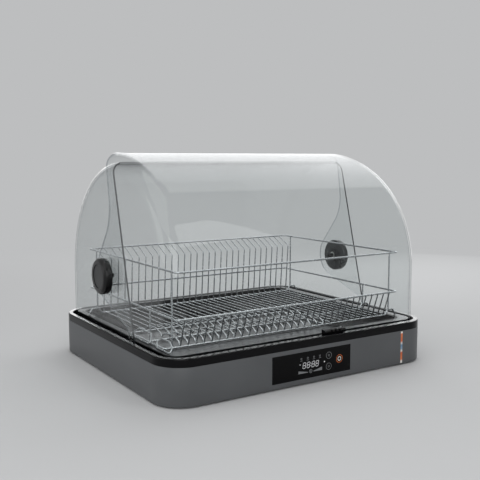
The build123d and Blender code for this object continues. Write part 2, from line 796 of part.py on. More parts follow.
def rear_seam(z):
    """Y of the rear cover's straight front edge at one height."""
    return rear_seam_y + rear_seam_slope * (z - rear_seam_z)


with BuildPart() as rear_cover:
    add(hood_solid(rear_half_width, rear_wall_y, rear_crown_y, rear_crown_z, rear_spring_z,
                   rear_shoulder_radius, groove_floor, rear_seam(groove_floor) - 20.0,
                   rear_edge_radius))
    add(
        hood_solid(rear_half_width - cover_wall, rear_wall_y - cover_wall, rear_crown_y,
                   rear_crown_z - cover_wall, rear_spring_z, rear_shoulder_radius - cover_wall,
                   groove_floor - 5.0, rear_seam(groove_floor) - 30.0,
                   rear_edge_radius - cover_wall),
        mode=Mode.SUBTRACT,
    )
    with BuildSketch(Plane.YZ.offset(-span / 2)):
        with BuildLine():
            low, high = groove_floor - 1.0, rear_crown_z + 5.0
            Polyline(
                (rear_seam(low), low), (rear_wall_y + 5.0, low), (rear_wall_y + 5.0, high),
                (rear_seam(high), high), close=True,
            )
        make_face()
    extrude(amount=span, mode=Mode.INTERSECT)
    with BuildSketch(Plane.YZ.offset(-span / 2)):
        with Locations((pivot_y, pivot_z)):
            Circle(bolt_radius + running)
    extrude(amount=span, mode=Mode.SUBTRACT)
    with BuildSketch(Plane.XY.offset(groove_floor + 1.0)):
        for x, y, turn in tab_places:
            with Locations((x, y)):
                Rectangle(tab_length, cover_wall, rotation=turn)
    extrude(amount=-tab_depth - 1.0)
finish(rear_cover, "rear_cover")

# ribbed black grip on the lower edge of the front cover
grip_x = 55.0
grip_length = 46.0
grip_pitch = 9.0

with BuildPart() as cover_grip:
    with BuildSketch(Plane.YZ.offset(grip_x - grip_length / 2)):
        with BuildLine():
            Polyline(
                (front_wall_y, deck_z - 4.0), (front_wall_y - 3.5, deck_z - 4.0),
                (front_wall_y - 3.5, deck_z + 1.5), (front_wall_y - 9.0, deck_z + 3.0),
                (front_wall_y - 10.5, deck_z + 4.5), (front_wall_y - 10.5, deck_z + 6.5),
                (front_wall_y, deck_z + 7.5), close=True,
            )
        make_face()
    extrude(amount=grip_length)
    with BuildSketch(Plane.XY.offset(deck_z + 10.0)):
        with Locations((grip_x, front_wall_y - 10.5)):
            with GridLocations(grip_pitch, 0, 4, 1):
                Rectangle(3.0, 6.0)
    extrude(amount=-9.0, mode=Mode.SUBTRACT)
finish(cover_grip, "cover_grip")

# ---------------------------------------------------------------- pivots, left and right
knob_face = front_half_width + 0.2
knob_edge = 2.5
cap_radius = 21.0
cap_thickness = 1.2
nut_length = 8.0
bolt_head = 4.0


def pivot_plane(side, distance):
    """Plane across the pivot axis at a distance from the middle, facing outwards."""
    return Plane(origin=(side * distance, pivot_y, pivot_z), x_dir=(0, side, 0), z_dir=(side, 0, 0))


for side, knob_name in ((-1, "left_knob"), (1, "right_knob")):
    with BuildPart() as knob:
        with BuildSketch(pivot_plane(side, knob_face)):
            Circle(knob_radius)
        extrude(amount=knob_depth)
        chamfer(knob.faces().sort_by(Axis.X)[0 if side < 0 else -1].edges(), 4.0)
        with BuildSketch(pivot_plane(side, knob_face + knob_depth)):
            Circle(cap_radius + gap)
        extrude(amount=-2.4, mode=Mode.SUBTRACT)
        with BuildSketch(pivot_plane(side, knob_face)):
            Circle(bolt_radius + running)
        extrude(amount=knob_depth, mode=Mode.SUBTRACT)
        with BuildSketch(pivot_plane(side, knob_face + knob_depth - 2.4)):
            Circle(8.0)
        extrude(amount=-bolt_head, mode=Mode.SUBTRACT)
    finish(knob, knob_name)

with BuildPart() as knob_caps:
    for side in (-1, 1):
        with BuildSketch(pivot_plane(side, knob_face + knob_depth - 2.4)):
            Circle(cap_radius)
        extrude(amount=cap_thickness)
finish(knob_caps, "knob_caps")

with BuildPart() as pivot_bolts:
    for side in (-1, 1):
        inner = rear_half_width - cover_wall - nut_length + 1.0
        with BuildSketch(pivot_plane(side, inner)):
            Circle(bolt_radius)
        extrude(amount=knob_face + knob_depth - 2.4 - bolt_head - inner)
        with BuildSketch(pivot_plane(side, knob_face + knob_depth - 2.4 - bolt_head)):
            RegularPolygon(7.5, 6)
        extrude(amount=bolt_head - 0.2)
finish(pivot_bolts, "pivot_bolts")

with BuildPart() as pivot_bushes:
    for side in (-1, 1):
        with BuildSketch(pivot_plane(side, rear_half_width)):
            Circle(bush_radius)
            Circle(bolt_radius + running, mode=Mode.SUBTRACT)
        extrude(amount=knob_face - rear_half_width)
finish(pivot_bushes, "pivot_bushes")

with BuildPart() as pivot_washers:
    for side in (-1, 1):
        with BuildSketch(pivot_plane(side, rear_half_width)):
            Circle(16.0)
            Circle(bush_radius + running, mode=Mode.SUBTRACT)
        extrude(amount=cover_gap - 0.2)
finish(pivot_washers, "pivot_washers")

with BuildPart() as pivot_nuts:
    for side in (-1, 1):
        with BuildSketch(pivot_plane(side, rear_half_width - cover_wall)):
            Circle(14.0)
        extrude(amount=-nut_length)
        with BuildSketch(pivot_plane(side, rear_half_width - cover_wall)):
            Circle(bolt_radius + running)
        extrude(amount=-nut_length + 1.0, mode=Mode.SUBTRACT)
finish(pivot_nuts, "pivot_nuts")

# ---------------------------------------------------------------- plate rack
rail_bend = 8.0

with BuildPart() as rack_top_rail:
    add(wire_ring((-rack_half, rack_front_y), (rack_half, rack_rear_y), top_rail_z,
                  rail_diameter, rail_bend))
finish(rack_top_rail, "rack_top_rail")

with BuildPart() as rack_mid_rail:
    add(wire_ring((-rack_half, rack_front_y), (rack_half, rack_rear_y), mid_rail_z,
                  rail_diameter, rail_bend))
finish(rack_mid_rail, "rack_mid_rail")

# cross rails under the floor wires, with arched ends that step over the recess edge
arch_x = recess_half - 18.0
arch_top_z = rail_z + 10.0
arch_foot_x = recess_half + 8.0
arch_foot_z = deck_z + gap + 0.9
left_arch = [
    (-arch_foot_x, arch_foot_z), (-arch_foot_x + 7.0, arch_top_z),
    (-arch_x - 6.0, arch_top_z), (-arch_x, rail_z),
]
right_arch = [(-x, z) for x, z in reversed(left_arch)]
ring_joint_x = cup_right + rail_diameter + 0.05

with BuildPart() as rack_floor_rails:
    add(bent_wire([(x, floor_rear_y, z) for x, z in left_arch + right_arch], rail_diameter, 2.5))
    for rail_y in (floor_mid_y, floor_front_y):
        path = [(ring_joint_x - rail_diameter / 2, rail_z)] + right_arch
        add(bent_wire([(x, rail_y, z) for x, z in path], rail_diameter, 2.5))
finish(rack_floor_rails, "rack_floor_rails")

# upright posts inside the two ring rails
post_x = rack_half - rail_diameter / 2 - post_diameter / 2
arch_crown = arch_top_z + rail_diameter / 2
post_spans = [
    (-post_x, floor_rear_y, arch_crown, top_rail_z),
    (post_x, floor_rear_y, arch_crown, top_rail_z),
    (post_x, floor_mid_y, arch_crown, mid_rail_z),
    (post_x, floor_front_y, arch_crown, top_rail_z),
    (-post_x, floor_mid_y + 11.0, deck_z + gap, mid_rail_z),
    (-post_x, floor_front_y + 3.4, deck_z + gap, top_rail_z),
]

with BuildPart() as rack_posts:
    for x, y, low_z, high_z in post_spans:
        with BuildSketch(Plane.XY.offset(low_z)):
            with Locations((x, y)):
                RegularPolygon(post_diameter / 2, 6)
        extrude(amount=high_z - low_z)
finish(rack_posts, "rack_posts")

# plate wires: from the rear top rail forward to a knee, then down to the floor
rail_hold = wire_touch / 2 ** 0.5
rear_wire = bent_wire(
    [
        (0, rack_rear_y - rail_hold, top_rail_z - rail_hold + 1.0),
        (0, knee_y, knee_z),
        (0, floor_rear_y, rail_z + rail_diameter / 2 + 0.15),
    ],
    wire_diameter, 0,
)

with BuildPart() as rack_rear_wires:
    with Locations(*[(x, 0, 0) for x in wire_x]):
        add(rear_wire)
finish(rack_rear_wires, "rack_rear_wires")

# floor wires: the left ones end on the cup section, the right ones reach the front
rear_end_y = floor_rear_y - wire_diameter / 2 - 0.35
front_end_y = floor_front_y + wire_diameter / 2 + 0.05

with BuildPart() as rack_floor_wires:
    for x in wire_x:
        stop_y = front_end_y if x > cup_right + wire_diameter else cup_rear_y
        with BuildSketch(Plane.XZ.offset(-rear_end_y)):
            with Locations((x, wire_z)):
                RegularPolygon(wire_diameter / 2, 6)
        extrude(amount=rear_end_y - stop_y)
finish(rack_floor_wires, "rack_floor_wires")

# front fence: from the mid rail down to the floor
fence_top_y = rack_front_y + wire_touch
fence_foot_z = rail_z + rail_diameter / 2 + 0.45
fence_wire = bent_wire(
    [(0, fence_top_y, mid_rail_z + 1.5), (0, floor_front_y, fence_foot_z)], wire_diameter, 0
)

with BuildPart() as rack_front_wires:
    with Locations(*[(x, 0, 0) for x in wire_x]):
        add(fence_wire)
finish(rack_front_wires, "rack_front_wires")

# ---------------------------------------------------------------- cup section of the rack
with BuildPart() as cup_frame:
    add(wire_ring((cup_left, cup_front_y), (cup_right, cup_rear_y), rail_z, rail_diameter, 6.0))
finish(cup_frame, "cup_frame")

with BuildPart() as cup_divider:
    with BuildSketch(Plane.YZ.offset(cup_left + rail_diameter / 2 + 0.05)):
        with Locations((cup_divider_y, rail_z)):
            RegularPolygon(rail_diameter / 2, 6)
    extrude(amount=cup_right - cup_left - rail_diameter - 0.1)
finish(cup_divider, "cup_divider")

# waved wires between the frame's front and rear runs
wave_rear_y = cup_rear_y - wire_diameter / 2 - 0.3
wave_count = 4
wave_span = wave_rear_y - front_end_y - 0.3
wave_step = wave_span / (2 * wave_count)
wave_points = [
    (0, wave_rear_y - i * wave_step, wire_z + (cup_wave_height if i % 2 else 0.0))
    for i in range(2 * wave_count + 1)
]
waved_wire = bent_wire(wave_points, wire_diameter, 0, sides=4)

with BuildPart() as cup_wires:
    with Locations(*[(x, 0, 0) for x in wire_x if x < cup_right]):
        add(waved_wire)
finish(cup_wires, "cup_wires")

# two bent loops that stand on the deck and lean against the left end of the cup section
loop_diameter = 2.6
loop_x = cup_left - 4.5
loop_low = deck_z + gap + loop_diameter / 2
loop_lean = 9.0
loop_rise = 14.0


def lean_loop(outline):
    """Closed loop of wire; outline gives (y, share of the rise) for every corner."""
    corners = [(loop_x + loop_lean * t, y, loop_low + loop_rise * t) for y, t in outline]
    start = tuple((a + b) / 2 for a, b in zip(corners[0], corners[1]))
    return bent_wire([start] + corners[1:] + [corners[0], start], loop_diameter, 0)


with BuildPart() as cup_loops:
    add(lean_loop([
        (cup_rear_y - 87.0, 0.0), (cup_rear_y - 4.0, 0.0),
        (cup_rear_y - 28.0, 1.0), (cup_rear_y - 74.0, 1.0),
    ]))
    add(lean_loop([
        (cup_front_y - 27.0, 0.0), (cup_front_y + 18.0, 0.0), (cup_front_y + 28.0, 0.5),
        (cup_front_y + 18.0, 1.0), (cup_front_y - 8.0, 1.0), (cup_front_y - 25.0, 0.5),
    ]))
finish(cup_loops, "cup_loops")
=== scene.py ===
import math

import bmesh
import bpy
import numpy as np
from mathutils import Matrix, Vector, geometry


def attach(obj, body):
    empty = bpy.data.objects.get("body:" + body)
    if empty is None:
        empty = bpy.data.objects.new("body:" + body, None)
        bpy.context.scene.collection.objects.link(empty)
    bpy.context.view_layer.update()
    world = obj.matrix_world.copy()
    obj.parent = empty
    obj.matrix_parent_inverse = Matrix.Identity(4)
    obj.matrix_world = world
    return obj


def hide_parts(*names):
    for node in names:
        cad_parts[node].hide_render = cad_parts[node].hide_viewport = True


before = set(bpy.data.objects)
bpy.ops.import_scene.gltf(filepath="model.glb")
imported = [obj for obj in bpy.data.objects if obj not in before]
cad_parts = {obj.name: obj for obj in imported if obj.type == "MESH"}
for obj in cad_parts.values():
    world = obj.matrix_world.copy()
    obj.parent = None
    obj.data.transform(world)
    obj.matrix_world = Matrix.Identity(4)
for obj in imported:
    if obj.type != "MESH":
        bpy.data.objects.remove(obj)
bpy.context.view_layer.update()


# ------------------------------------------------------------------ camera, floor and light
# A plain pale sweep under seven soft boxes. The camera stands where the photograph was taken,
# and the boxes are placed so that the clear hood mirrors them where it does there.
def linear(code, alpha=1.0):
    """Linear RGBA of an sRGB hex colour: c/12.92 below 0.04045, else ((c+0.055)/1.055)^2.4."""
    channels = np.array([int(code[i:i + 2], 16) for i in (0, 2, 4)]) / 255
    bright = np.where(channels <= 0.04045, channels / 12.92, ((channels + 0.055) / 1.055) ** 2.4)
    return (*bright.tolist(), alpha)


def add_node(tree, kind, settings=None, **inputs):
    """Adds one shader node. settings are its properties; inputs are values or sockets by name."""
    made = tree.nodes.new("ShaderNode" + kind)
    for key, value in (settings or {}).items():
        setattr(made, key, value)
    for key, value in inputs.items():
        socket = made.inputs[int(key[1:])] if key[1:].isdigit() else made.inputs[key.replace("_", " ")]
        if isinstance(value, bpy.types.NodeSocket):
            tree.links.new(value, socket)
        else:
            socket.default_value = value
    return made


def new_material(name):
    """An empty node material, its tree and its output node."""
    material = bpy.data.materials.new(name)
    material.use_nodes = True
    material.node_tree.nodes.clear()
    return material, material.node_tree, add_node(material.node_tree, "OutputMaterial")


camera_data = bpy.data.cameras.new("camera")
focal_px, frame_px, sensor_mm = 732.1, 480, 36
camera_data.lens = focal_px / frame_px * sensor_mm
camera_data.sensor_width = sensor_mm
camera_data.clip_start = 0.02
camera = bpy.data.objects.new("camera", camera_data)
camera.location = (-0.7659, -1.1885, 0.3825)
looks_along = Vector((0.5387, 0.8353, -0.1104))
camera.rotation_euler = looks_along.to_track_quat("-Z", "Y").to_euler()
bpy.context.scene.collection.objects.link(camera)
bpy.context.scene.camera = camera
bpy.context.scene.view_settings.view_transform = "Standard"
# enough steps for a line of sight that crosses both covers twice and a nut, two faces each time
bpy.context.scene.cycles.transparent_max_bounces = 32

# The sweep is matt near the object, where it takes the shadow, and fades to the even colour
# of the backdrop further out, so that no horizon shows.
backdrop_colour = linear("BDBEBF")
floor_mesh = bpy.data.meshes.new("floor")
reach = 40.0
floor_mesh.from_pydata(
    [(-reach, -reach, 0), (reach, -reach, 0), (reach, reach, 0), (-reach, reach, 0)], [], [(0, 1, 2, 3)]
)
floor = bpy.data.objects.new("floor", floor_mesh)
bpy.context.scene.collection.objects.link(floor)
floor_material, tree, output = new_material("pale_sweep")
place = add_node(tree, "TexCoord")
distance = add_node(tree, "VectorMath", {"operation": "LENGTH"}, i0=place.outputs["Object"])
fade_from, fade_to = 0.55, 1.9
fade = add_node(tree, "MapRange", {"interpolation_type": "SMOOTHSTEP"}, Value=distance.outputs["Value"],
                From_Min=fade_from, From_Max=fade_to)
matt = add_node(tree, "BsdfDiffuse", Color=linear("C6C7C8"))
even = add_node(tree, "Emission", Color=backdrop_colour)
floor_mix = add_node(tree, "MixShader", i0=fade.outputs["Result"], i1=matt.outputs[0], i2=even.outputs[0])
tree.links.new(floor_mix.outputs[0], output.inputs["Surface"])
floor_mesh.materials.append(floor_material)

world = bpy.data.worlds.new("studio")
bpy.context.scene.world = world
world.use_nodes = True
tree = world.node_tree
tree.nodes.clear()
# the camera, mirrors and clear walls see the backdrop's colour, and a dim white lights the rest
rays = add_node(tree, "LightPath")
direct = add_node(tree, "Math", {"operation": "MAXIMUM"}, i0=rays.outputs["Is Camera Ray"],
                  i1=rays.outputs["Is Transmission Ray"])
seen = add_node(tree, "Math", {"operation": "MAXIMUM"}, i0=direct.outputs[0],
                i1=rays.outputs["Is Glossy Ray"])
lighting = add_node(tree, "Background", Color=linear("FFFFFF"), Strength=0.34)
visible = add_node(tree, "Background", Color=backdrop_colour, Strength=1.0)
sky = add_node(tree, "MixShader", i0=seen.outputs[0], i1=lighting.outputs[0], i2=visible.outputs[0])
tree.links.new(sky.outputs[0], add_node(tree, "OutputWorld").inputs["Surface"])


def soft_box(name, place, aim, width, height, brightness):
    """A rectangular area lamp at place, turned towards aim, whose face has the given brightness.

    Power = pi * area * brightness, so a brightness of 1 is a white sheet in a mirror.
    """
    lamp = bpy.data.lights.new(name, "AREA")
    lamp.shape = "RECTANGLE"
    lamp.size, lamp.size_y = width, height
    lamp.energy = math.pi * width * height * brightness
    lamp_object = bpy.data.objects.new(name, lamp)
    lamp_object.location = place
    lamp_object.rotation_euler = (Vector(aim) - Vector(place)).to_track_quat("-Z", "Y").to_euler()
    lamp_object.visible_camera = False
    lamp_object.visible_transmission = False
    bpy.context.scene.collection.objects.link(lamp_object)


# a ceiling behind on the right, which the hood's crown mirrors as a long bright band
soft_box("box_over", (3.4, 3.1, 1.55), (3.4, 3.1, 0.0), 6.0, 6.4, 1.15)
# general light from above
soft_box("box_above", (-0.75, -0.3, 1.75), (-0.2, 0.0, 0.0), 1.6, 2.4, 1.0)
# the left wall, and the upright strip in the hood's left front corner
soft_box("box_left", (-2.9, 0.6, 0.95), (-0.2, 0, 0.2), 1.8, 1.5, 1.6)
# the pale patch in the hood's front wall
soft_box("box_front", (0.41, -1.02, 1.07), (-0.2, -0.2, 0.27), 0.42, 0.46, 2.4)
# the base's front wall, from the left
soft_box("box_near", (-0.9, -1.6, 0.8), (-0.15, -0.2, 0.05), 1.3, 1.0, 2.3)
# the white line down the hood's right edge
soft_box("box_right", (1.5, 0.7, 0.45), (0.25, -0.2, 0.25), 0.5, 0.9, 1.5)
# the white glint on the bezel's rear left corner
soft_box("box_corner", (0.31, 2.1, 0.48), (-0.27, 0.2, 0.08), 0.25, 0.6, 2.5)


# ------------------------------------------------------------------ base housing
# The grey skirt is one ABS moulding with a fine sparked surface: flat walls, round corners,
# a seat on top for the bezel, and a shallow seat in front for the touch window.
def outline(half_x, half_y, radius, centre_y=0.0, steps=16):
    """Points of a rounded rectangle: corner centre + radius * (cos a, sin a), a in four quarters."""
    angle = np.linspace(0, np.pi / 2, steps)
    quarter = [angle + k * np.pi / 2 for k in range(4)]
    sign = ((1, 1), (-1, 1), (-1, -1), (1, -1))
    return np.concatenate([
        np.stack([
            sx * (half_x - radius) + radius * np.cos(a),
            centre_y + sy * (half_y - radius) + radius * np.sin(a),
        ], -1)
        for a, (sx, sy) in zip(quarter, sign)
    ])


def make_mesh(name, points, faces, smooth_angle=35.0):
    """A mesh object from points in millimetres, doubles merged, faces turned outwards."""
    mesh = bpy.data.meshes.new(name)
    mesh.from_pydata((np.asarray(points, float) / 1000).tolist(), [], faces)
    bm = bmesh.new()
    bm.from_mesh(mesh)
    bmesh.ops.remove_doubles(bm, verts=bm.verts, dist=1e-6)
    bmesh.ops.recalc_face_normals(bm, faces=bm.faces)
    bm.to_mesh(mesh)
    bm.free()
    mesh.shade_smooth()
    mesh.set_sharp_from_angle(angle=math.radians(smooth_angle))
    made = bpy.data.objects.new(name, mesh)
    bpy.context.scene.collection.objects.link(made)
    return made


def grid_faces(rows, columns, wrap_rows=False, wrap_columns=False):
    """Quads of a rows x columns grid of points; wrapping joins the last to the first."""
    i = np.arange(rows if wrap_rows else rows - 1)[:, None]
    j = np.arange(columns if wrap_columns else columns - 1)[None, :]
    i2, j2 = (i + 1) % rows, (j + 1) % columns
    quads = np.stack([i * columns + j, i * columns + j2, i2 * columns + j2, i2 * columns + j], -1)
    return quads.reshape(-1, 4).tolist()


def swept_ring(name, rows):
    """A closed ring: rounded rectangles (half x, half y, radius, height, centre y) joined row to row."""
    loops = [
        np.column_stack([ring, np.full(len(ring), z)])
        for hx, hy, r, z, cy in rows
        for ring in [outline(hx, hy, r, cy)]
    ]
    grid = np.stack(loops)
    return make_mesh(name, grid.reshape(-1, 3), grid_faces(*grid.shape[:2], True, True))


def carve(piece, low, high):
    """Cuts a box, given by two corners in millimetres, out of a piece."""
    low, high = np.array(low, float), np.array(high, float)
    corner = np.array([(x, y, z) for x in (0, 1) for y in (0, 1) for z in (0, 1)])
    faces = [(0, 1, 3, 2), (4, 6, 7, 5), (0, 4, 5, 1), (2, 3, 7, 6), (0, 2, 6, 4), (1, 5, 7, 3)]
    cutter = make_mesh("cutter", low + corner * (high - low), faces)
    cut = piece.modifiers.new("cut", "BOOLEAN")
    cut.operation, cut.solver, cut.object = "DIFFERENCE", "EXACT", cutter
    bpy.context.view_layer.update()
    result = bpy.data.meshes.new_from_object(piece.evaluated_get(bpy.context.evaluated_depsgraph_get()))
    piece.modifiers.clear()
    piece.data = result
    bpy.data.objects.remove(cutter)


def moulded(name, colour, rough, grain_mm=0.5, depth=0.04, shine=0.5):
    """Moulded plastic: one colour with faint mottling, and a sparked grain of grain_mm in its bump."""
    material, tree, output = new_material(name)
    place = add_node(tree, "TexCoord").outputs["Object"]
    cloud = add_node(tree, "TexNoise", Vector=place, Scale=14.0, Detail=3.0)
    tone = add_node(tree, "MapRange", Value=cloud.outputs["Fac"], From_Min=0.3, From_Max=0.7,
                    To_Min=0.94, To_Max=1.06)
    tint = add_node(tree, "VectorMath", {"operation": "SCALE"}, i0=linear(colour)[:3],
                    Scale=tone.outputs["Result"])
    grain = add_node(tree, "TexNoise", Vector=place, Scale=1000 / grain_mm / 2, Detail=2.0)
    dents = add_node(tree, "Bump", Strength=depth, Distance=0.0002, Height=grain.outputs["Fac"])
    patch = add_node(tree, "MapRange", Value=cloud.outputs["Fac"], From_Min=0.3, From_Max=0.7,
                     To_Min=rough * 0.9, To_Max=rough * 1.1)
    shader = add_node(tree, "BsdfPrincipled", Base_Color=tint.outputs[0], Roughness=patch.outputs["Result"],
                      IOR=1.5, Specular_IOR_Level=shine, Normal=dents.outputs["Normal"])
    tree.links.new(shader.outputs[0], output.inputs["Surface"])
    return material


# ABS from a spark-eroded mould: dull grey with a soft sheen. Its grain, some tenths of a
# millimetre on the real one, is drawn at 0.9 mm so that it shows.
grey_abs = moulded("grey_sparked_abs", "56585A", 0.42, grain_mm=0.9, depth=0.12, shine=0.35)
body_x, body_y, corner, body_low, body_top = 280.0, 233.0, 52.0, 3.0, 65.4
wall, seat_inset, seat_z = 2.5, 11.5, 63.0
housing = swept_ring("base_housing_skin", [
    (body_x - dx, body_y - dx, corner - dx, z, 0)
    for dx, z in (
        (1.0, body_low), (0.3, body_low + 0.3), (0, body_low + 1.0), (0, body_top - 0.5),
        (0.15, body_top - 0.15), (0.5, body_top), (seat_inset, body_top), (seat_inset, seat_z),
        (wall, seat_z), (wall, body_low),
    )
])
# y where cuts through the front and rear walls start and end, and where shallow ones start
front_out, front_in, rear_in, rear_out, before_front = -240.0, -225.0, 225.0, 240.0, -234.0
# the touch window's seat, and an opening in it for the light from behind
seat_left, seat_right, seat_low, seat_high, seat_back = -86.75, 82.35, 11.5, 58.3, -231.5
carve(housing, (seat_left, before_front, seat_low), (seat_right, seat_back, seat_high))
carve(housing, (seat_left + 5.05, front_out, seat_low + 4), (seat_right - 5.05, front_in, seat_high - 4))
# the coloured strip's groove
strip_x, groove_half, groove_back = 207.5, 2.3, -232.4
carve(housing, (strip_x - groove_half, before_front, 4.5), (strip_x + groove_half, groove_back, 63.9))
# the opening of the cord's pocket, and twelve air slots
carve(housing, (-222.5, rear_in, 14.5), (-187.5, rear_out, 41.5))
slot_middle, slot_pitch, slot_half, slot_count = -65.0, 9.0, 1.5, 12
for k in range(slot_count):
    slot_x = slot_middle + (k - (slot_count - 1) / 2) * slot_pitch
    carve(housing, (slot_x - slot_half, rear_in, 13), (slot_x + slot_half, rear_out, 47))
housing.data.shade_smooth()
housing.data.set_sharp_from_angle(angle=math.radians(35))
housing.data.materials.clear()
housing.data.materials.append(grey_abs)
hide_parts("base_housing")
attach(housing, "base")

# ------------------------------------------------------------------ bezel
# A gloss black moulding on top of the skirt. Its outer wall is the dark band, its flat top
# ring mirrors the lights, and the groove inside the ring takes the lower edges of the covers.

# ABS from a polished mould: deep black, with a clean mirror image at a low angle; the 6 mm
# grain is the slight waviness of a moulded face
gloss_black = moulded("gloss_black_abs", "08080A", 0.10, grain_mm=6.0, depth=0.01, shine=0.13)
band_low, deck_z, groove_z = 65.4, 79.0, 71.0
groove_x, groove_y, groove_r = 271.0, 221.0, 38.0
rib_x, rib_half_y, rib_cy, rib_r = 248.5, 206.0, 4.5, 26.0
rib_top = deck_z - 2.4
edge_r, floor_wall, rib_wall = 2.0, 2.5, 2.5
rounding = [
    (edge_r * (1 - math.cos(a)), deck_z - edge_r * (1 - math.sin(a))) for a in np.linspace(0, np.pi / 2, 5)
]
bezel_rows = [
    (body_x - 0.5, body_y - 0.5, corner - 0.5, band_low, 0), (body_x, body_y, corner, band_low + 0.5, 0)
]
bezel_rows += [(body_x - d, body_y - d, corner - d, z, 0) for d, z in rounding]
bezel_rows += [
    (groove_x + 0.5, groove_y + 0.5, groove_r + 0.5, deck_z, 0),
    (groove_x, groove_y, groove_r, deck_z - 0.5, 0),
    (groove_x, groove_y, groove_r, groove_z, 0),
    (rib_x, rib_half_y, rib_r, groove_z, rib_cy),
    (rib_x, rib_half_y, rib_r, rib_top, rib_cy),
    (rib_x - rib_wall, rib_half_y - rib_wall, rib_r - rib_wall, rib_top, rib_cy),
    (rib_x - rib_wall, rib_half_y - rib_wall, rib_r - rib_wall, groove_z - floor_wall, rib_cy),
    (groove_x + wall, groove_y + wall, groove_r + wall, groove_z - floor_wall, 0),
    (groove_x + wall, groove_y + wall, groove_r + wall, deck_z - floor_wall, 0),
    (body_x - wall, body_y - wall, corner - wall, deck_z - floor_wall, 0),
    (body_x - wall, body_y - wall, corner - wall, band_low, 0),
]
bezel = swept_ring("bezel_ring", bezel_rows)
bezel.data.materials.append(gloss_black)
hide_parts("top_bezel")
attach(bezel, "base")


# ------------------------------------------------------------------ deck
# The deck is a thin satin stainless sheet, brushed along its length: fine streaks that widen
# the mirror images across the brushing. Real ones are finer than the 0.35 mm drawn here.
def brushed(name, colour, rough, streak_mm=0.35, metal=1.0, bump=0.06):
    """Brushed metal: noise stretched 60 to 1 along X gives streaks in roughness, tone and bump."""
    stretch = 60
    material, tree, output = new_material(name)
    place = add_node(tree, "TexCoord").outputs["Object"]
    spread = add_node(tree, "Mapping", Vector=place,
                      Scale=(1000 / streak_mm / stretch, 1000 / streak_mm, 1000 / streak_mm))
    streaks = add_node(tree, "TexNoise", Vector=spread.outputs[0], Scale=1.0, Detail=3.0)
    shade = add_node(tree, "MapRange", Value=streaks.outputs["Fac"], From_Min=0.3, From_Max=0.7,
                     To_Min=0.9, To_Max=1.1)
    tint = add_node(tree, "VectorMath", {"operation": "SCALE"}, i0=linear(colour)[:3],
                    Scale=shade.outputs["Result"])
    polish = add_node(tree, "MapRange", Value=streaks.outputs["Fac"], From_Min=0.3, From_Max=0.7,
                      To_Min=rough * 0.8, To_Max=rough * 1.25)
    ridges = add_node(tree, "Bump", Strength=bump, Distance=0.0002, Height=streaks.outputs["Fac"])
    shader = add_node(tree, "BsdfPrincipled", Base_Color=tint.outputs[0], Metallic=metal,
                      Roughness=polish.outputs["Result"], Normal=ridges.outputs["Normal"])
    tree.links.new(shader.outputs[0], output.inputs["Surface"])
    return material


def dress(node, material):
    """Gives a CAD node its material, in every slot it has."""
    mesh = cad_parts[node].data
    if not mesh.materials:
        mesh.materials.append(material)
    for index in range(len(mesh.materials)):
        mesh.materials[index] = material


# stainless steel brushed with fine grit, with soft, wide highlights. Its dark grey colour is painted shade:
# it stands in for the shade under the hood and the dark surroundings that bright steel mirrors, not steel's
# own tone.
steel_painted_dark = brushed("satin_stainless_painted_dark", "3C3D3F", 0.30, metal=0.75)
dress("deck_plate", steel_painted_dark)

# ------------------------------------------------------------------ drip tray
# A black polypropylene pan, moulded with a satin surface, that hangs by its rim in the deck.
# It catches the water, and the raised slots at the rear let the hot air out.

# moulded polypropylene: black, dull and a little waxy; its fine grain is drawn at 1.2 mm
black_pp = moulded("satin_black_polypropylene", "070708", 0.50, grain_mm=1.2, depth=0.015, shine=0.06)
dress("drip_tray", black_pp)


# ------------------------------------------------------------------ plate rack
# Round steel wire, bent, spot-welded and bright chrome plated: two rails round the basket,
# posts, cross rails with arched feet, and thirty-one plate wires 14.8 mm apart.
def bent_path(corners, bend, arc_steps=7):
    """Path with rounded corners: at each corner the arc of radius bend that touches both runs."""
    corners = [np.array(c, float) for c in corners]
    path = [corners[0]]
    for before, here, after in zip(corners, corners[1:], corners[2:]):
        a, b = before - here, after - here
        a, b = a / np.linalg.norm(a), b / np.linalg.norm(b)
        half = math.acos(np.clip(a @ b, -1, 1)) / 2
        if half > 1.55:
            path.append(here)
            continue
        cut = bend / math.tan(half)
        centre = here + (a + b) / np.linalg.norm(a + b) * bend / math.sin(half)
        start, stop = here + a * cut - centre, here + b * cut - centre
        sweep = math.pi - 2 * half
        t = np.linspace(0, 1, arc_steps)[:, None]
        arc = (np.sin((1 - t) * sweep) * start + np.sin(t * sweep) * stop) / math.sin(sweep)
        path += list(centre + arc)
    return np.array(path + [corners[-1]])


def tube(path, radius, sides=12, closed=False):
    """Points and faces of a round wire: path + radius * (cos v * across + sin v * up), ends closed.

    The frame is carried along the path by taking from each side vector its share along the run.
    """
    path = np.asarray(path, float)
    if closed:
        run = np.roll(path, -1, 0) - np.roll(path, 1, 0)
    else:
        run = np.gradient(path, axis=0)
    run /= np.linalg.norm(run, axis=1, keepdims=True)
    side = np.cross(run[0], (0.3, 0.5, 0.81))
    sides_along = []
    for direction in run:
        side = side - (side @ direction) * direction
        side = side / np.linalg.norm(side)
        sides_along.append(side)
    across = np.array(sides_along)
    up = np.cross(run, across)
    v = np.linspace(0, 2 * np.pi, sides, endpoint=False)
    ring = np.cos(v)[None, :, None] * across[:, None] + np.sin(v)[None, :, None] * up[:, None]
    points = (path[:, None] + radius * ring).reshape(-1, 3)
    faces = grid_faces(len(path), sides, closed, True)
    if not closed:
        faces += [list(range(sides)), list(range(len(points) - sides, len(points)))]
    return points, faces


def wire_set(name, wires, smooth_angle=50):
    """One object from several wires, each a pair of points and faces."""
    points, faces, count = [], [], 0
    for wire_points, wire_faces in wires:
        points.append(wire_points)
        faces += [[index + count for index in face] for face in wire_faces]
        count += len(wire_points)
    return make_mesh(name, np.concatenate(points), faces, smooth_angle)


def copies(wire, xs):
    """The same wire at each x."""
    points, faces = wire
    return [(points + (x, 0, 0), faces) for x in xs]


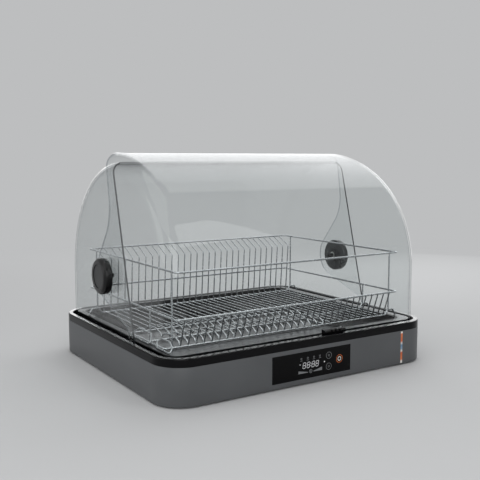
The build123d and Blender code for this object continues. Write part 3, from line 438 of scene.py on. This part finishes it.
def chrome(name):
    """Chromium plate on drawn wire: bright, faintly blue, with soft drawing marks as bump."""
    material, tree, output = new_material(name)
    place = add_node(tree, "TexCoord").outputs["Object"]
    marks = add_node(tree, "TexNoise", Vector=place, Scale=260.0, Detail=2.0)
    haze = add_node(tree, "MapRange", Value=marks.outputs["Fac"], From_Min=0.3, From_Max=0.7,
                    To_Min=0.16, To_Max=0.30)
    ripple = add_node(tree, "Bump", Strength=0.08, Distance=0.0002, Height=marks.outputs["Fac"])
    shader = add_node(tree, "BsdfPrincipled", Base_Color=linear("B6B9BB"), Metallic=1.0,
                      Roughness=haze.outputs["Result"], Normal=ripple.outputs["Normal"])
    tree.links.new(shader.outputs[0], output.inputs["Surface"])
    return material


chrome_wire = chrome("chrome_plated_wire")


def rack_piece(piece, *replaced):
    piece.data.materials.append(chrome_wire)
    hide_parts(*replaced)
    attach(piece, "rack")


rail_r, wire_r, post_r = 1.75, 1.2, 1.5
rack_x, rack_front, rack_rear = 238.0, -187.5, 178.6
top_rail, mid_rail = 205.3, 129.6
rail_z, wire_z = 81.2, 84.15
for name, height in (("rack_top_rail", top_rail), ("rack_mid_rail", mid_rail)):
    ring = outline(rack_x, (rack_rear - rack_front) / 2, 8.0, (rack_rear + rack_front) / 2, steps=9)
    loop = np.column_stack([ring, np.full(len(ring), height)])
    rack_piece(wire_set(name + "_wire", [tube(loop, rail_r, closed=True)]), name)

floor_rear, floor_mid, floor_front = 150.0, -95.0, -168.0
cup_left, cup_right, cup_rear = -250.0, 76.0, -37.0
right_arch = [(227, rail_z), (233, rail_z + 10), (246, rail_z + 10), (253, 80.2)]
left_arch = [(-x, z) for x, z in reversed(right_arch)]
rails = [tube(bent_path([(x, floor_rear, z) for x, z in left_arch + right_arch], 3.0), rail_r)]
for y in (floor_mid, floor_front):
    rails.append(tube(bent_path([(x, y, z) for x, z in [(77.8, rail_z)] + right_arch], 3.0), rail_r))
rack_piece(wire_set("rack_floor_rail_wires", rails), "rack_floor_rails")

post_x, post_foot, arch_top = 234.75, 79.3, rail_z + 11.75
posts = [
    (-post_x, floor_rear, arch_top, top_rail), (post_x, floor_rear, arch_top, top_rail),
    (post_x, floor_mid, arch_top, mid_rail), (post_x, floor_front, arch_top, top_rail),
    (-post_x, floor_mid + 11, post_foot, mid_rail), (-post_x, floor_front + 3.4, post_foot, top_rail),
]
post_wires = [tube([(x, y, low), (x, y, high)], post_r) for x, y, low, high in posts]
rack_piece(wire_set("rack_post_wires", post_wires), "rack_posts")

pitch, wire_count = 14.8, 31
wire_x = (np.arange(wire_count) - wire_count // 2) * pitch
# a rear wire leans in from the top rail to a kink, and drops from there to the floor
kink_y, kink_z = 142, 187
rear_line = [(0, rack_rear - 2.1, top_rail - 1.1), (0, kink_y, kink_z), (0, floor_rear, 83.1)]
rear_wire = tube(bent_path(rear_line, 4.0), wire_r, 10)
rack_piece(wire_set("rack_rear_wire_row", copies(rear_wire, wire_x)), "rack_rear_wires")
fence_wire = tube([(0, rack_front + 2.95, mid_rail + 1.5), (0, floor_front, 83.4)], wire_r, 10)
rack_piece(wire_set("rack_fence_wire_row", copies(fence_wire, wire_x)), "rack_front_wires")
rear_end = floor_rear - 1.55
front_end = floor_front + 1.25
long_wire = tube([(0, rear_end, wire_z), (0, front_end, wire_z)], wire_r, 10)
short_wire = tube([(0, rear_end, wire_z), (0, cup_rear, wire_z)], wire_r, 10)
over_cups = wire_x <= cup_right + 2.4
floor_wires = copies(long_wire, wire_x[~over_cups]) + copies(short_wire, wire_x[over_cups])
rack_piece(wire_set("rack_floor_wire_row", floor_wires), "rack_floor_wires")

# ------------------------------------------------------------------ cup section of the rack
# A low frame at the front left, of the same wire: humped wires that hold cups and bowls,
# a divider across the middle, and two bent loops that stand on the deck at its left end.
cup_half_x, cup_half_y = (cup_right - cup_left) / 2, (cup_rear - floor_front) / 2
ring = outline(cup_half_x, cup_half_y, 6.0, (cup_rear + floor_front) / 2, steps=7)
ring[:, 0] += (cup_right + cup_left) / 2
loop = np.column_stack([ring, np.full(len(ring), rail_z)])
rack_piece(wire_set("cup_frame_wire", [tube(loop, rail_r, closed=True)]), "cup_frame")
divider_y = -108.5
divider = tube([(cup_left + 1.8, divider_y, rail_z), (cup_right - 1.8, divider_y, rail_z)], rail_r)
rack_piece(wire_set("cup_divider_wire", [divider]), "cup_divider")
# each humped wire rises by hump_height * |sin(hump_count * pi * t)| ^ hump_fullness along its run t
hump_height, hump_count, hump_fullness = 11.0, 2, 0.55
along = np.linspace(0, 1, 97)
wave = np.column_stack([
    np.zeros(len(along)),
    cup_rear - 1.5 + along * (front_end + 0.3 - (cup_rear - 1.5)),
    wire_z + hump_height * np.abs(np.sin(np.pi * hump_count * along)) ** hump_fullness,
])
cup_wires = copies(tube(wave, wire_r, 10), wire_x[wire_x < cup_right])
rack_piece(wire_set("cup_wave_wires", cup_wires), "cup_wires")
# the loops as pairs of y and share of the rise, leaning inwards from their feet on the deck
loop_x, loop_z, loop_lean, loop_rise, loop_r = -254.5, 80.6, 9.0, 14.0, 1.3
loop_shapes = (
    [(-124.0, 0.0), (-41.0, 0.0), (-65.0, 1.0), (-111.0, 1.0)],
    [(-195.0, 0.0), (-150.0, 0.0), (-140.0, 0.5), (-150.0, 1.0), (-176.0, 1.0), (-193.0, 0.5)],
)
loops = []
for shape in loop_shapes:
    corners = [np.array((loop_x + loop_lean * t, y, loop_z + loop_rise * t)) for y, t in shape]
    start = (corners[0] + corners[1]) / 2
    path = bent_path([start] + corners[1:] + [corners[0], start], 3.0)
    loops.append(tube(path[:-1], loop_r, closed=True))
rack_piece(wire_set("cup_loop_wires", loops), "cup_loops")


# ------------------------------------------------------------------ clear covers
# Two bent and trimmed shells of clear acrylic, 3 mm thick. The rear one is fixed; the front
# one runs outside it, and its side panels end in an ear round each pivot.
rise_steps, hole_steps, flat_band, sheet = 90, 40, 2.0, 3.0
pivot = np.array((32.0, 174.0))


def arch_row(wall_y, crown_y, crown_z, spring_z, shoulder, low_z, depth, stop, count=rise_steps):
    """Line of a hood at one depth under its skin, from the lower edge up to the seam.

    It runs up the wall, along the shoulder's arc and the crown's arc, which are tangent, and
    flat past the crown; every radius is smaller by depth. stop(z) is the seam's y at a height.
    The line is worked out finely, cut at the seam, and then divided evenly into count points.
    """
    wall_steps, shoulder_steps, crown_steps, past_steps, past = 60, 200, 300, 30, -60
    toward = 1 if wall_y > crown_y else -1
    reach, rise = abs(wall_y - crown_y), crown_z - spring_z
    upper = (reach ** 2 + rise ** 2 - 2 * reach * shoulder) / (2 * (rise - shoulder))
    turn = math.atan2(upper - rise, reach - shoulder)
    a, b = np.linspace(0, turn, shoulder_steps), np.linspace(turn, np.pi / 2, crown_steps)
    u = np.concatenate([
        np.full(wall_steps, reach - depth),
        reach - shoulder + (shoulder - depth) * np.cos(a), (upper - depth) * np.cos(b),
        np.linspace(0, past, past_steps),
    ])
    v = np.concatenate([
        np.linspace(low_z - spring_z, 0, wall_steps),
        (shoulder - depth) * np.sin(a), rise - upper + (upper - depth) * np.sin(b),
        np.full(past_steps, rise - depth),
    ])
    y, z = crown_y + toward * u, spring_z + v
    beyond = toward * (y - stop(z)) < 0
    last = int(np.argmax(beyond)) if beyond.any() else len(y) - 1
    gap_before, gap_after = y[last - 1] - stop(z[last - 1]), y[last] - stop(z[last])
    share = gap_before / (gap_before - gap_after)
    y = np.append(y[:last], y[last - 1] + share * (y[last] - y[last - 1]))
    z = np.append(z[:last], z[last - 1] + share * (z[last] - z[last - 1]))
    length = np.concatenate([[0], np.cumsum(np.hypot(np.diff(y), np.diff(z)))])
    even = np.linspace(0, length[-1], count)
    return np.column_stack([np.interp(even, length, y), np.interp(even, length, z)])


def apply_modifiers(piece, smooth_angle=30.0):
    """Puts what the modifiers give into the mesh, and marks its edges sharp by their angle."""
    bpy.context.view_layer.update()
    result = bpy.data.meshes.new_from_object(piece.evaluated_get(bpy.context.evaluated_depsgraph_get()))
    piece.modifiers.clear()
    piece.data = result
    result.shade_smooth()
    result.set_sharp_from_angle(angle=math.radians(smooth_angle))


def clear_cover(name, half, radius, row_at, side_edge, hole, cut_edge):
    """A hood shell: rows at every step across its width, flat side panels with a pivot hole.

    Across the width x = half - radius + radius cos a and depth = radius (1 - sin a), with a
    narrow flat band on both sides of the arc. side_edge is the panel's free edge from the
    crown down to the lower edge. The side panels' cut edges get the second material, a
    painted line for what refraction shows along a cut edge; the edge across the crown keeps the
    clear one, with no painted line.
    """
    angle = np.linspace(0, np.pi / 2, 13)
    offset = np.concatenate([[half], half - radius + radius * np.cos(angle), [half - radius - flat_band]])
    depth = np.concatenate([[radius + flat_band], radius * (1 - np.sin(angle)), [0]])
    flat = np.linspace(offset[-1], -offset[-1], 14)[1:-1]
    xs = np.concatenate([offset, flat, -offset[::-1]])
    depths = np.concatenate([depth, np.zeros(len(flat)), depth[::-1]])
    rows = np.stack([
        np.column_stack([np.full(rise_steps, x), row_at(d)]) for x, d in zip(xs, depths)
    ])
    points = list(rows.reshape(-1, 3))
    faces = grid_faces(len(xs), rise_steps)
    panel = np.concatenate([row_at(depth[0]), side_edge])
    turn = np.linspace(0, 2 * np.pi, hole_steps, endpoint=False)
    rim = np.column_stack([pivot[0] + hole * np.cos(turn), pivot[1] + hole * np.sin(turn)])
    flat_points = np.concatenate([panel, rim])
    edges = [(i, (i + 1) % len(panel)) for i in range(len(panel))]
    edges += [(len(panel) + i, len(panel) + (i + 1) % hole_steps) for i in range(hole_steps)]
    filled = geometry.delaunay_2d_cdt([Vector(p) for p in flat_points], edges, [], 5, 1e-5)
    for x in (half, -half):
        start = len(points)
        points += [np.array((x, p[0], p[1])) for p in filled[0]]
        faces += [[start + index for index in face] for face in filled[2]]
    cover = make_mesh(name, np.array(points), faces, smooth_angle=30)
    top = max(cover.data.polygons, key=lambda face: face.center.z)
    if top.normal.z < 0:
        cover.data.flip_normals()
    cover.data.materials.append(clear_acrylic)
    cover.data.materials.append(cut_edge)
    shell = cover.modifiers.new("thickness", "SOLIDIFY")
    shell.thickness, shell.offset, shell.use_even_offset = sheet / 1000, -1.0, True
    shell.material_offset_rim = 1
    apply_modifiers(cover)
    for face in cover.data.polygons:
        if face.material_index == 1 and abs(face.center.x) * 1000 < half - radius * 0.8:
            face.material_index = 0
    return cover


def clear_sheet(name, tint, head_on=0.016, wipe_marks=0.05):
    """A thin clear wall: what is behind shows through it unbent, and each face mirrors a share.

    The share is Schlick's: head_on + (1 - head_on) * (1 - cosine of the view angle) to the 5th.
    With the 7th power of (1 - cosine) what shows through turns dark grey at a slant: painted shade along
    the silhouettes, which a real wall gets from refraction.
    """
    material, tree, output = new_material(name)
    place = add_node(tree, "TexCoord").outputs["Object"]
    swirl = add_node(tree, "TexNoise", Vector=place, Scale=4.0, Detail=1.0)
    ripple = add_node(tree, "Bump", Strength=0.03, Distance=0.002, Height=swirl.outputs["Fac"])
    wipes = add_node(tree, "TexNoise", Vector=place, Scale=22.0, Detail=4.0)
    haze = add_node(tree, "MapRange", Value=wipes.outputs["Fac"], From_Min=0.35, From_Max=0.75,
                    To_Min=0.02, To_Max=wipe_marks)
    mirror = add_node(tree, "BsdfPrincipled", Base_Color=linear("F8F9FA"), Metallic=1.0,
                      Roughness=haze.outputs["Result"], Normal=ripple.outputs["Normal"])
    slant = add_node(tree, "LayerWeight", Blend=0.5).outputs["Facing"]
    steep = add_node(tree, "Math", {"operation": "POWER"}, i0=slant, i1=5.0)
    rim = add_node(tree, "Math", {"operation": "POWER"}, i0=slant, i1=7.0)
    # painted shade: at a slant the see-through colour turns dark grey, for the dark lines that refraction
    # draws along silhouettes
    slant_painted_shade = add_node(tree, "Mix", {"data_type": "RGBA"}, i0=rim.outputs[0], i6=linear(tint),
                        i7=linear("3C4042"))
    clear = add_node(tree, "BsdfTransparent", Color=slant_painted_shade.outputs[2])
    share = add_node(tree, "Math", {"operation": "MULTIPLY_ADD"}, i0=steep.outputs[0],
                     i1=1 - head_on, i2=head_on)
    mixed = add_node(tree, "MixShader", i0=share.outputs[0], i1=clear.outputs[0], i2=mirror.outputs[0])
    tree.links.new(mixed.outputs[0], output.inputs["Surface"])
    return material


# Acrylic sheet, bent hot: water-clear and glossy, with faint wipe marks. The cut edges carry
# painted lines for what refraction shows there: the front cover's polished edge lets light
# through, greyed and mirroring more, a painted mid-tone line; the rear cover's sawn edge is
# drawn opaque dark grey, a painted dark line.
clear_acrylic = clear_sheet("clear_acrylic", "F9FAFA")
front_edge_painted_line = clear_sheet("polished_acrylic_edge_painted_line", "D2D5D7", head_on=0.10)
rear_edge_painted_shade = moulded("acrylic_edge_painted_dark_line", "2B2D2F", 0.30, grain_mm=1.0, depth=0.1)
ear_r, ear_top, ear_low = 45.0, np.array((8.0, 276.0)), np.array((-58.0, 95.0))
crown_seam, seam_foot = np.array((26.0, 399.0)), np.array((-66.0, 70.3))
front_low, rear_low = 71.3, 71.0


def ear_touch(point, side):
    """Where a line from point touches the ear's circle: its angle there, and the point."""
    away = point - pivot
    turn = math.atan2(away[1], away[0]) + side * math.acos(ear_r / np.hypot(*away))
    return turn, pivot + ear_r * np.array((math.cos(turn), math.sin(turn)))


def front_stop(z):
    """y of the front cover's rear edge above the ear: a straight line to the crown's seam."""
    return ear_top[0] + (z - ear_top[1]) * (crown_seam[0] - ear_top[0]) / (crown_seam[1] - ear_top[1])


def rear_stop(z):
    """y of the rear cover's straight front edge, which leans back by slope per mm of height."""
    edge_y, edge_z, slope = -65.0, 103.0, 0.265
    return edge_y + slope * (z - edge_z)


def front_row(depth):
    """The front cover's line at a depth under its skin."""
    return arch_row(wall_y=-214.0, crown_y=35.0, crown_z=394.0, spring_z=176.0, shoulder=208.0,
                    low_z=front_low, depth=depth, stop=front_stop)


def rear_row(depth):
    """The rear cover's line at a depth under its skin."""
    return arch_row(wall_y=219.0, crown_y=6.0, crown_z=377.0, spring_z=166.0, shoulder=205.0,
                    low_z=rear_low, depth=depth, stop=rear_stop)


front_r, rear_r = 27.0, 21.0
turn_a, touch_a = ear_touch(ear_top, -1)
turn_b, touch_b = ear_touch(ear_low, 1)
edge_up = bent_path([front_row(front_r + flat_band)[-1], ear_top, touch_a], 80.0, 14)
round_ear = np.linspace(turn_a, turn_b, 40)[1:-1]
edge_ear = pivot + ear_r * np.column_stack([np.cos(round_ear), np.sin(round_ear)])
low_end = ear_low + (seam_foot - ear_low) * (ear_low[1] - front_low) / (ear_low[1] - seam_foot[1])
edge_low = bent_path([touch_b, ear_low, low_end], 22.0, 9)
front_edge = np.concatenate([edge_up[1:], edge_ear, edge_low])
front_half, bush_hole = 265.0, 7.05
front_shell = clear_cover(
    "front_cover_shell", front_half, front_r, front_row, front_edge, bush_hole, front_edge_painted_line
)
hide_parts("front_cover")
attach(front_shell, "hood_front")

rear_end_point = np.array((rear_stop(rear_low), rear_low))
rear_edge = np.linspace(rear_row(rear_r + flat_band)[-1], rear_end_point, 20)[1:]
rear_half, bolt_hole = 260.5, 4.05
rear_shell = clear_cover("rear_cover_shell", rear_half, rear_r, rear_row, rear_edge, bolt_hole, rear_edge_painted_shade)
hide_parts("rear_cover")
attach(rear_shell, "base")


# ------------------------------------------------------------------ pivots
# Black moulded knobs with a chamfered rim and a grey disc in the outer face, on a bolt that
# runs through both covers; a bush turns in the ear, and a washer keeps the covers apart.
def turned(name, profile, sides, ring=True, steps=72):
    """Pieces turned about the pivot's axis, one per side: side * x, radius * (cos a, sin a) in Y and Z.

    ring joins the profile's last point to its first; a profile that ends on the axis has no ring.
    """
    r, x = np.array(profile, float).T
    a = np.linspace(0, 2 * np.pi, steps, endpoint=False)
    circle = [pivot[0] + r[:, None] * np.cos(a), pivot[1] + r[:, None] * np.sin(a)]
    along_x = [np.broadcast_to((side * x)[:, None], (len(r), steps)) for side in sides]
    grids = [np.stack([across_x, *circle], -1) for across_x in along_x]
    faces = grid_faces(len(r), steps, ring, True)
    return wire_set(name, [(grid.reshape(-1, 3), faces) for grid in grids], smooth_angle=32)


# Moulded ABS: the knob's is a half-gloss black, the cap's a dull grey. The real grain of both
# is finer than the 0.8 mm drawn here.
knob_abs = moulded("black_knob_abs", "0D0D0E", 0.28, grain_mm=0.8, depth=0.08, shine=0.35)
cap_abs = moulded("grey_cap_abs", "353637", 0.45, grain_mm=0.8, depth=0.12, shine=0.3)
knob_low, knob_high, knob_r = 265.2, 280.5, 32.5
cap_r, cap_seat, cap_face = 21.0, knob_high - 2.4, knob_high - 1.2
head_r, head_seat = 8.0, knob_high - 6.4
# radius and x of the outline: inner face, side, chamfer, rim, the cap's recess and the bolt head's
knob_profile = [
    (bolt_hole, knob_low), (knob_r - 0.9, knob_low), (knob_r - 0.2, knob_low + 0.3),
    (knob_r, knob_low + 0.9), (knob_r, knob_high - 4.3), (knob_r - 0.2, knob_high - 3.7),
    (28.9, knob_high - 0.3), (28.2, knob_high),
    (cap_r + 0.9, knob_high), (cap_r + 0.3, knob_high - 0.5), (cap_r + 0.3, cap_seat),
    (head_r, cap_seat), (head_r, head_seat), (bolt_hole, head_seat),
]
cap_profile = [
    (0, cap_seat), (cap_r, cap_seat), (cap_r, cap_face - 0.3), (cap_r - 0.3, cap_face), (0, cap_face),
]
for side, node in ((-1, "left_knob"), (1, "right_knob")):
    knob = turned(node + "_body", knob_profile, [side])
    knob.data.materials.append(knob_abs)
    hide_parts(node)
    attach(knob, "base")
cap_discs = turned("knob_cap_discs", cap_profile, (-1, 1), ring=False)
cap_discs.data.materials.append(cap_abs)
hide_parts("knob_caps")
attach(cap_discs, "base")
# moulded nylon, undyed: milky, with a soft sheen. The bolts and washers are as black as the
# knobs, and the nuts are clear.
nylon = moulded("natural_nylon", "C9C8C2", 0.45)
dress("pivot_bolts", knob_abs)
dress("pivot_bushes", nylon)
dress("pivot_washers", knob_abs)
dress("pivot_nuts", clear_acrylic)

# ------------------------------------------------------------------ grip of the front cover
# A short ribbed bar of black ABS, bonded to the lower edge of the front cover, by which the
# cover is lifted; it stands out over the bezel.
grip_profile = np.array([
    (-213.95, 75.0), (-217.5, 75.0), (-217.5, 80.2), (-219.0, 81.2), (-223.0, 82.0), (-224.3, 83.0),
    (-224.5, 84.2), (-224.0, 85.4), (-222.8, 86.2), (-213.95, 86.8),
])
grip_left, grip_right, ribbed_left, ribbed_right = 32.0, 78.0, 40, 70
notch_pitch, notch_deep, root_y, grip_reach = 9.0, 3.2, -217.5, 7.0
# a notch goes in by 3 * cos(2 pi * place / pitch) + 0.2, held between 0 and 1, times notch_deep,
# and fades to nothing from the bar's outer face to its root
along_grip = np.linspace(grip_left, grip_right, 93)
from_middle = along_grip - (grip_left + grip_right) / 2
notch = np.clip(np.cos(from_middle / notch_pitch * 2 * np.pi) * 3 + 0.2, 0, 1)
notch[(along_grip < ribbed_left) | (along_grip > ribbed_right)] = 0
grip_grid = np.stack([
    np.column_stack([np.full(len(grip_profile), x), grip_profile]) for x in along_grip
])
stand_out = np.clip(-(grip_grid[..., 1] - root_y) / grip_reach, 0, 1)
grip_grid[..., 1] += notch[:, None] * stand_out * notch_deep
grip_faces = grid_faces(*grip_grid.shape[:2], False, True)
per_row, total = len(grip_profile), grip_grid.size // 3
grip_faces += [list(range(per_row)), list(range(total - per_row, total))]
grip = make_mesh("cover_grip_bar", grip_grid.reshape(-1, 3), grip_faces, smooth_angle=40)
grip.data.materials.append(knob_abs)
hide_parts("cover_grip")
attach(grip, "hood_front")


# ------------------------------------------------------------------ touch window and display
# A dark glossy polycarbonate window, flush in the front wall. The lit clock digits, the small
# signs and the touch rings shine through it from the board behind.
def flat_set(name, shapes, y, thickness=0.12):
    """Thin raised shapes on the window: polygons in x and z, each given the same small thickness."""
    points, faces, count = [], [], 0
    for shape in shapes:
        shape = np.asarray(shape, float)
        n = len(shape)
        front = np.column_stack([shape[:, 0], np.full(n, y), shape[:, 1]])
        back = front + (0, thickness, 0)
        points += [front, back]
        faces.append(list(range(count, count + n)))
        faces.append(list(range(count + 2 * n - 1, count + n - 1, -1)))
        after = [(i + 1) % n for i in range(n)]
        faces += [[count + i, count + after[i], count + n + after[i], count + n + i] for i in range(n)]
        count += 2 * n
    return make_mesh(name, np.concatenate(points), faces)


def ring_shapes(x, z, outer, inner, steps=32):
    """A flat ring as short four-cornered pieces between two circles."""
    a = np.linspace(0, 2 * np.pi, steps + 1)
    edge = np.column_stack([np.cos(a), np.sin(a)])
    return [
        np.array([edge[i] * outer, edge[i + 1] * outer, edge[i + 1] * inner, edge[i] * inner]) + (x, z)
        for i in range(steps)
    ]


def lit(name, colour, strength):
    """A printed or lit sign: its own colour, and a glow of that colour at a strength."""
    material, tree, output = new_material(name)
    place = add_node(tree, "TexCoord").outputs["Object"]
    spread = add_node(tree, "TexNoise", Vector=place, Scale=300.0, Detail=1.0)
    glow = add_node(tree, "MapRange", Value=spread.outputs["Fac"], From_Min=0.3, From_Max=0.7,
                    To_Min=strength * 0.9, To_Max=strength * 1.1)
    shader = add_node(tree, "BsdfPrincipled", Base_Color=linear(colour), Roughness=0.3,
                      Emission_Color=linear(colour), Emission_Strength=glow.outputs["Result"])
    tree.links.new(shader.outputs[0], output.inputs["Surface"])
    return material


# tinted polycarbonate with a hard coat: almost black, with a sharp but weak mirror image and
# the slight 8 mm waviness of a moulded sheet
window_gloss = moulded("dark_window_polycarbonate", "030304", 0.08, grain_mm=8.0, depth=0.005, shine=0.13)
face_y, sign_y = -233.0, -233.02
window_x, window_z, window_half_x, window_half_z, window_r = -2.2, 34.9, 84.5, 23.35, 1.5
rows = []
for inset, y in ((0.0, face_y + 1.5), (0.0, face_y + 0.25), (0.25, face_y)):
    shape = outline(window_half_x - inset, window_half_z - inset, window_r - inset, window_z, steps=6)
    shape = shape + (window_x, 0)
    rows.append(np.column_stack([shape[:, 0], np.full(len(shape), y), shape[:, 1]]))
grid = np.stack(rows)
window_faces = grid_faces(3, grid.shape[1], False, True)
window_faces += [list(range(grid.shape[1])), list(range(2 * grid.shape[1], 3 * grid.shape[1]))]
window = make_mesh("touch_window", grid.reshape(-1, 3), window_faces)
window.data.materials.append(window_gloss)
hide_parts("touch_panel")
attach(window, "base")

# Seven-segment digits of pointed bars: digit_w between the uprights' middles, digit_h between
# the top and bottom bars' middles, leaning right by lean per mm; bar_swell makes bars 0.75 mm wide.
segment = np.array([(-0.5, 0), (-0.43, 0.055), (0.43, 0.055), (0.5, 0), (0.43, -0.055), (-0.43, -0.055)])
digit_w, digit_h, lean, bar_swell, digit_z = 5.5, 9.6, 0.14, 6.8, 34.6
digit_shapes = []
for digit_x in (-20.2, -11.4, -1.0, 7.6):
    for cx, cz, upright in (
        (0, 1, False), (0, 0, False), (0, -1, False),
        (-1, 0.5, True), (1, 0.5, True), (-1, -0.5, True), (1, -0.5, True),
    ):
        length = (digit_h / 2 if upright else digit_w) - 0.5
        bar = segment * (length, bar_swell)
        if upright:
            bar = bar[:, ::-1]
        bar = bar + (cx * digit_w / 2, cz * digit_h / 2)
        bar[:, 0] += lean * bar[:, 1]
        digit_shapes.append(bar + (digit_x, digit_z))
colon_x, colon_dot = -6.2, np.array([(-0.6, -0.6), (0.6, -0.6), (0.6, 0.6), (-0.6, 0.6)])
for dz in (-2.2, 2.2):
    digit_shapes.append(colon_dot + (colon_x + lean * dz, digit_z + dz))
# a small arrow on the left and a dot on the right
digit_shapes.append(np.array([(-1.2, 1.1), (0.9, 0), (-1.2, -1.1)]) + (-28.6, 37.2))
digit_shapes += ring_shapes(23.6, 35.0, 1.2, 0.2, 16)
digits = flat_set("clock_digits", digit_shapes, sign_y)
digits.data.materials.append(lit("white_display_light", "C9CBCD", 0.42))
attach(digits, "base")

# below the digits a ring between two wedges, above them four plain signs, and two ring keys
sign_shapes = ring_shapes(-6.2, 23.0, 3.3, 2.5, 24) + ring_shapes(-6.2, 23.0, 1.2, 0.2, 16)
sign_shapes.append(np.array([(-32.5, 21.4), (-12.0, 21.4), (-12.0, 22.4), (-32.5, 26.4)]))
sign_shapes.append(np.array([(-0.5, 21.4), (18.5, 21.2), (18.5, 27.2), (-0.5, 22.6)]))
for sign_x in (-26.4, -12.8, 0.4, 13.5):
    sign_shapes += ring_shapes(sign_x, 47.0, 1.7, 1.0, 14)
    sign_shapes.append(np.array([(-2.4, -0.4), (2.4, -0.4), (2.4, 0.4), (-2.4, 0.4)]) + (sign_x, 43.4))
for key_z in (44.8, 25.3):
    sign_shapes += ring_shapes(33.2, key_z, 6.1, 5.4) + ring_shapes(33.2, key_z, 1.9, 1.2, 16)
signs = flat_set("printed_signs", sign_shapes, sign_y)
signs.data.materials.append(lit("grey_print", "6E7072", 0.10))
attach(signs, "base")
power_x, power_z = 57.0, 35.5
power_outer = flat_set("power_ring_outer", ring_shapes(power_x, power_z, 7.1, 6.4), sign_y)
power_outer.data.materials.append(lit("orange_light", "C2642F", 0.26))
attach(power_outer, "base")
power_inner = flat_set("power_ring_inner", ring_shapes(power_x, power_z, 3.9, 2.6, 24), sign_y)
power_inner.data.materials.append(lit("pale_light", "B9BDBB", 0.35))
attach(power_inner, "base")

# ------------------------------------------------------------------ coloured strip
# A printed strip let into the front wall near the right corner: seven blocks, white, orange,
# white, blue-grey, white, orange and white, from top to bottom.
material, tree, output = new_material("printed_strip")
place = add_node(tree, "TexCoord").outputs["Object"]
height = add_node(tree, "SeparateXYZ", Vector=place).outputs["Z"]
strip_low, strip_high = 0.0045, 0.0639
span = add_node(tree, "MapRange", Value=height, From_Min=strip_low, From_Max=strip_high)
bands = add_node(tree, "ValToRGB", Fac=span.outputs["Result"])
bands.color_ramp.interpolation = "LINEAR"
blocks = [
    "E9E6DF", "E9E6DF", "DA7A4A", "D0632F", "E6E2DC", "86A0B8",
    "6688A8", "D9D8D6", "D0632F", "DA7A4A", "EFEDE8", "EFEDE8",
]
stops = [0.0, 0.07, 0.11, 0.33, 0.39, 0.45, 0.57, 0.63, 0.70, 0.93, 0.96, 1.0]
ramp = bands.color_ramp.elements
while len(ramp) < len(stops):
    ramp.new(0.5)
# all places first and colours after, because the ramp sorts its stops as they move
for element, stop in zip(ramp, stops):
    element.position = stop
for element, colour in zip(ramp, blocks):
    element.color = linear(colour)
print_grain = add_node(tree, "TexNoise", Vector=place, Scale=900.0)
print_bump = add_node(tree, "Bump", Strength=0.05, Distance=0.0001, Height=print_grain.outputs["Fac"])
shader = add_node(tree, "BsdfPrincipled", Base_Color=bands.outputs["Color"], Roughness=0.3,
                  Normal=print_bump.outputs["Normal"])
tree.links.new(shader.outputs[0], output.inputs["Surface"])
dress("accent_strip", material)

# ------------------------------------------------------------------ underside and inner parts
# Hidden in use: rubber feet, the plate and its screws, the blower with its motor, the sheet
# duct with heater and lamp, the boards and the cord's gland. Their solids are the CAD's own.

# Zinc-plated steel is a pale satin; rubber is dull black; a circuit board is glass fibre under
# green lacquer; the motor's can is painted; rolled aluminium is bright, and quartz is clear.
zinc = brushed("zinc_plated_steel", "B2B4B5", 0.35, streak_mm=0.5)
rubber = moulded("black_rubber", "1C1C1C", 0.75, grain_mm=0.6, depth=0.25)
board = moulded("green_circuit_board", "1F5B3A", 0.40, grain_mm=1.5, depth=0.2)
can = moulded("painted_motor_can", "4A4B4D", 0.35)
duct_metal = brushed("aluminium_sheet", "C2C4C6", 0.35, streak_mm=0.6)
quartz = clear_sheet("quartz_tube", "FFFFFF", head_on=0.04)
for node, finish in {
    "rubber_feet": rubber, "base_plate": zinc, "plate_screws": zinc, "screw_bosses": grey_abs,
    "cord_pocket": knob_abs, "cord_gland": knob_abs, "blower_casing": black_pp, "fan_motor": can,
    "fan_shaft": zinc, "fan_impeller": nylon, "air_duct": duct_metal, "ptc_heater": duct_metal,
    "uv_lamp": quartz, "lamp_holders": nylon, "power_board": board, "control_board": board,
    "led_display": black_pp, "touch_springs": zinc,
}.items():
    dress(node, finish)
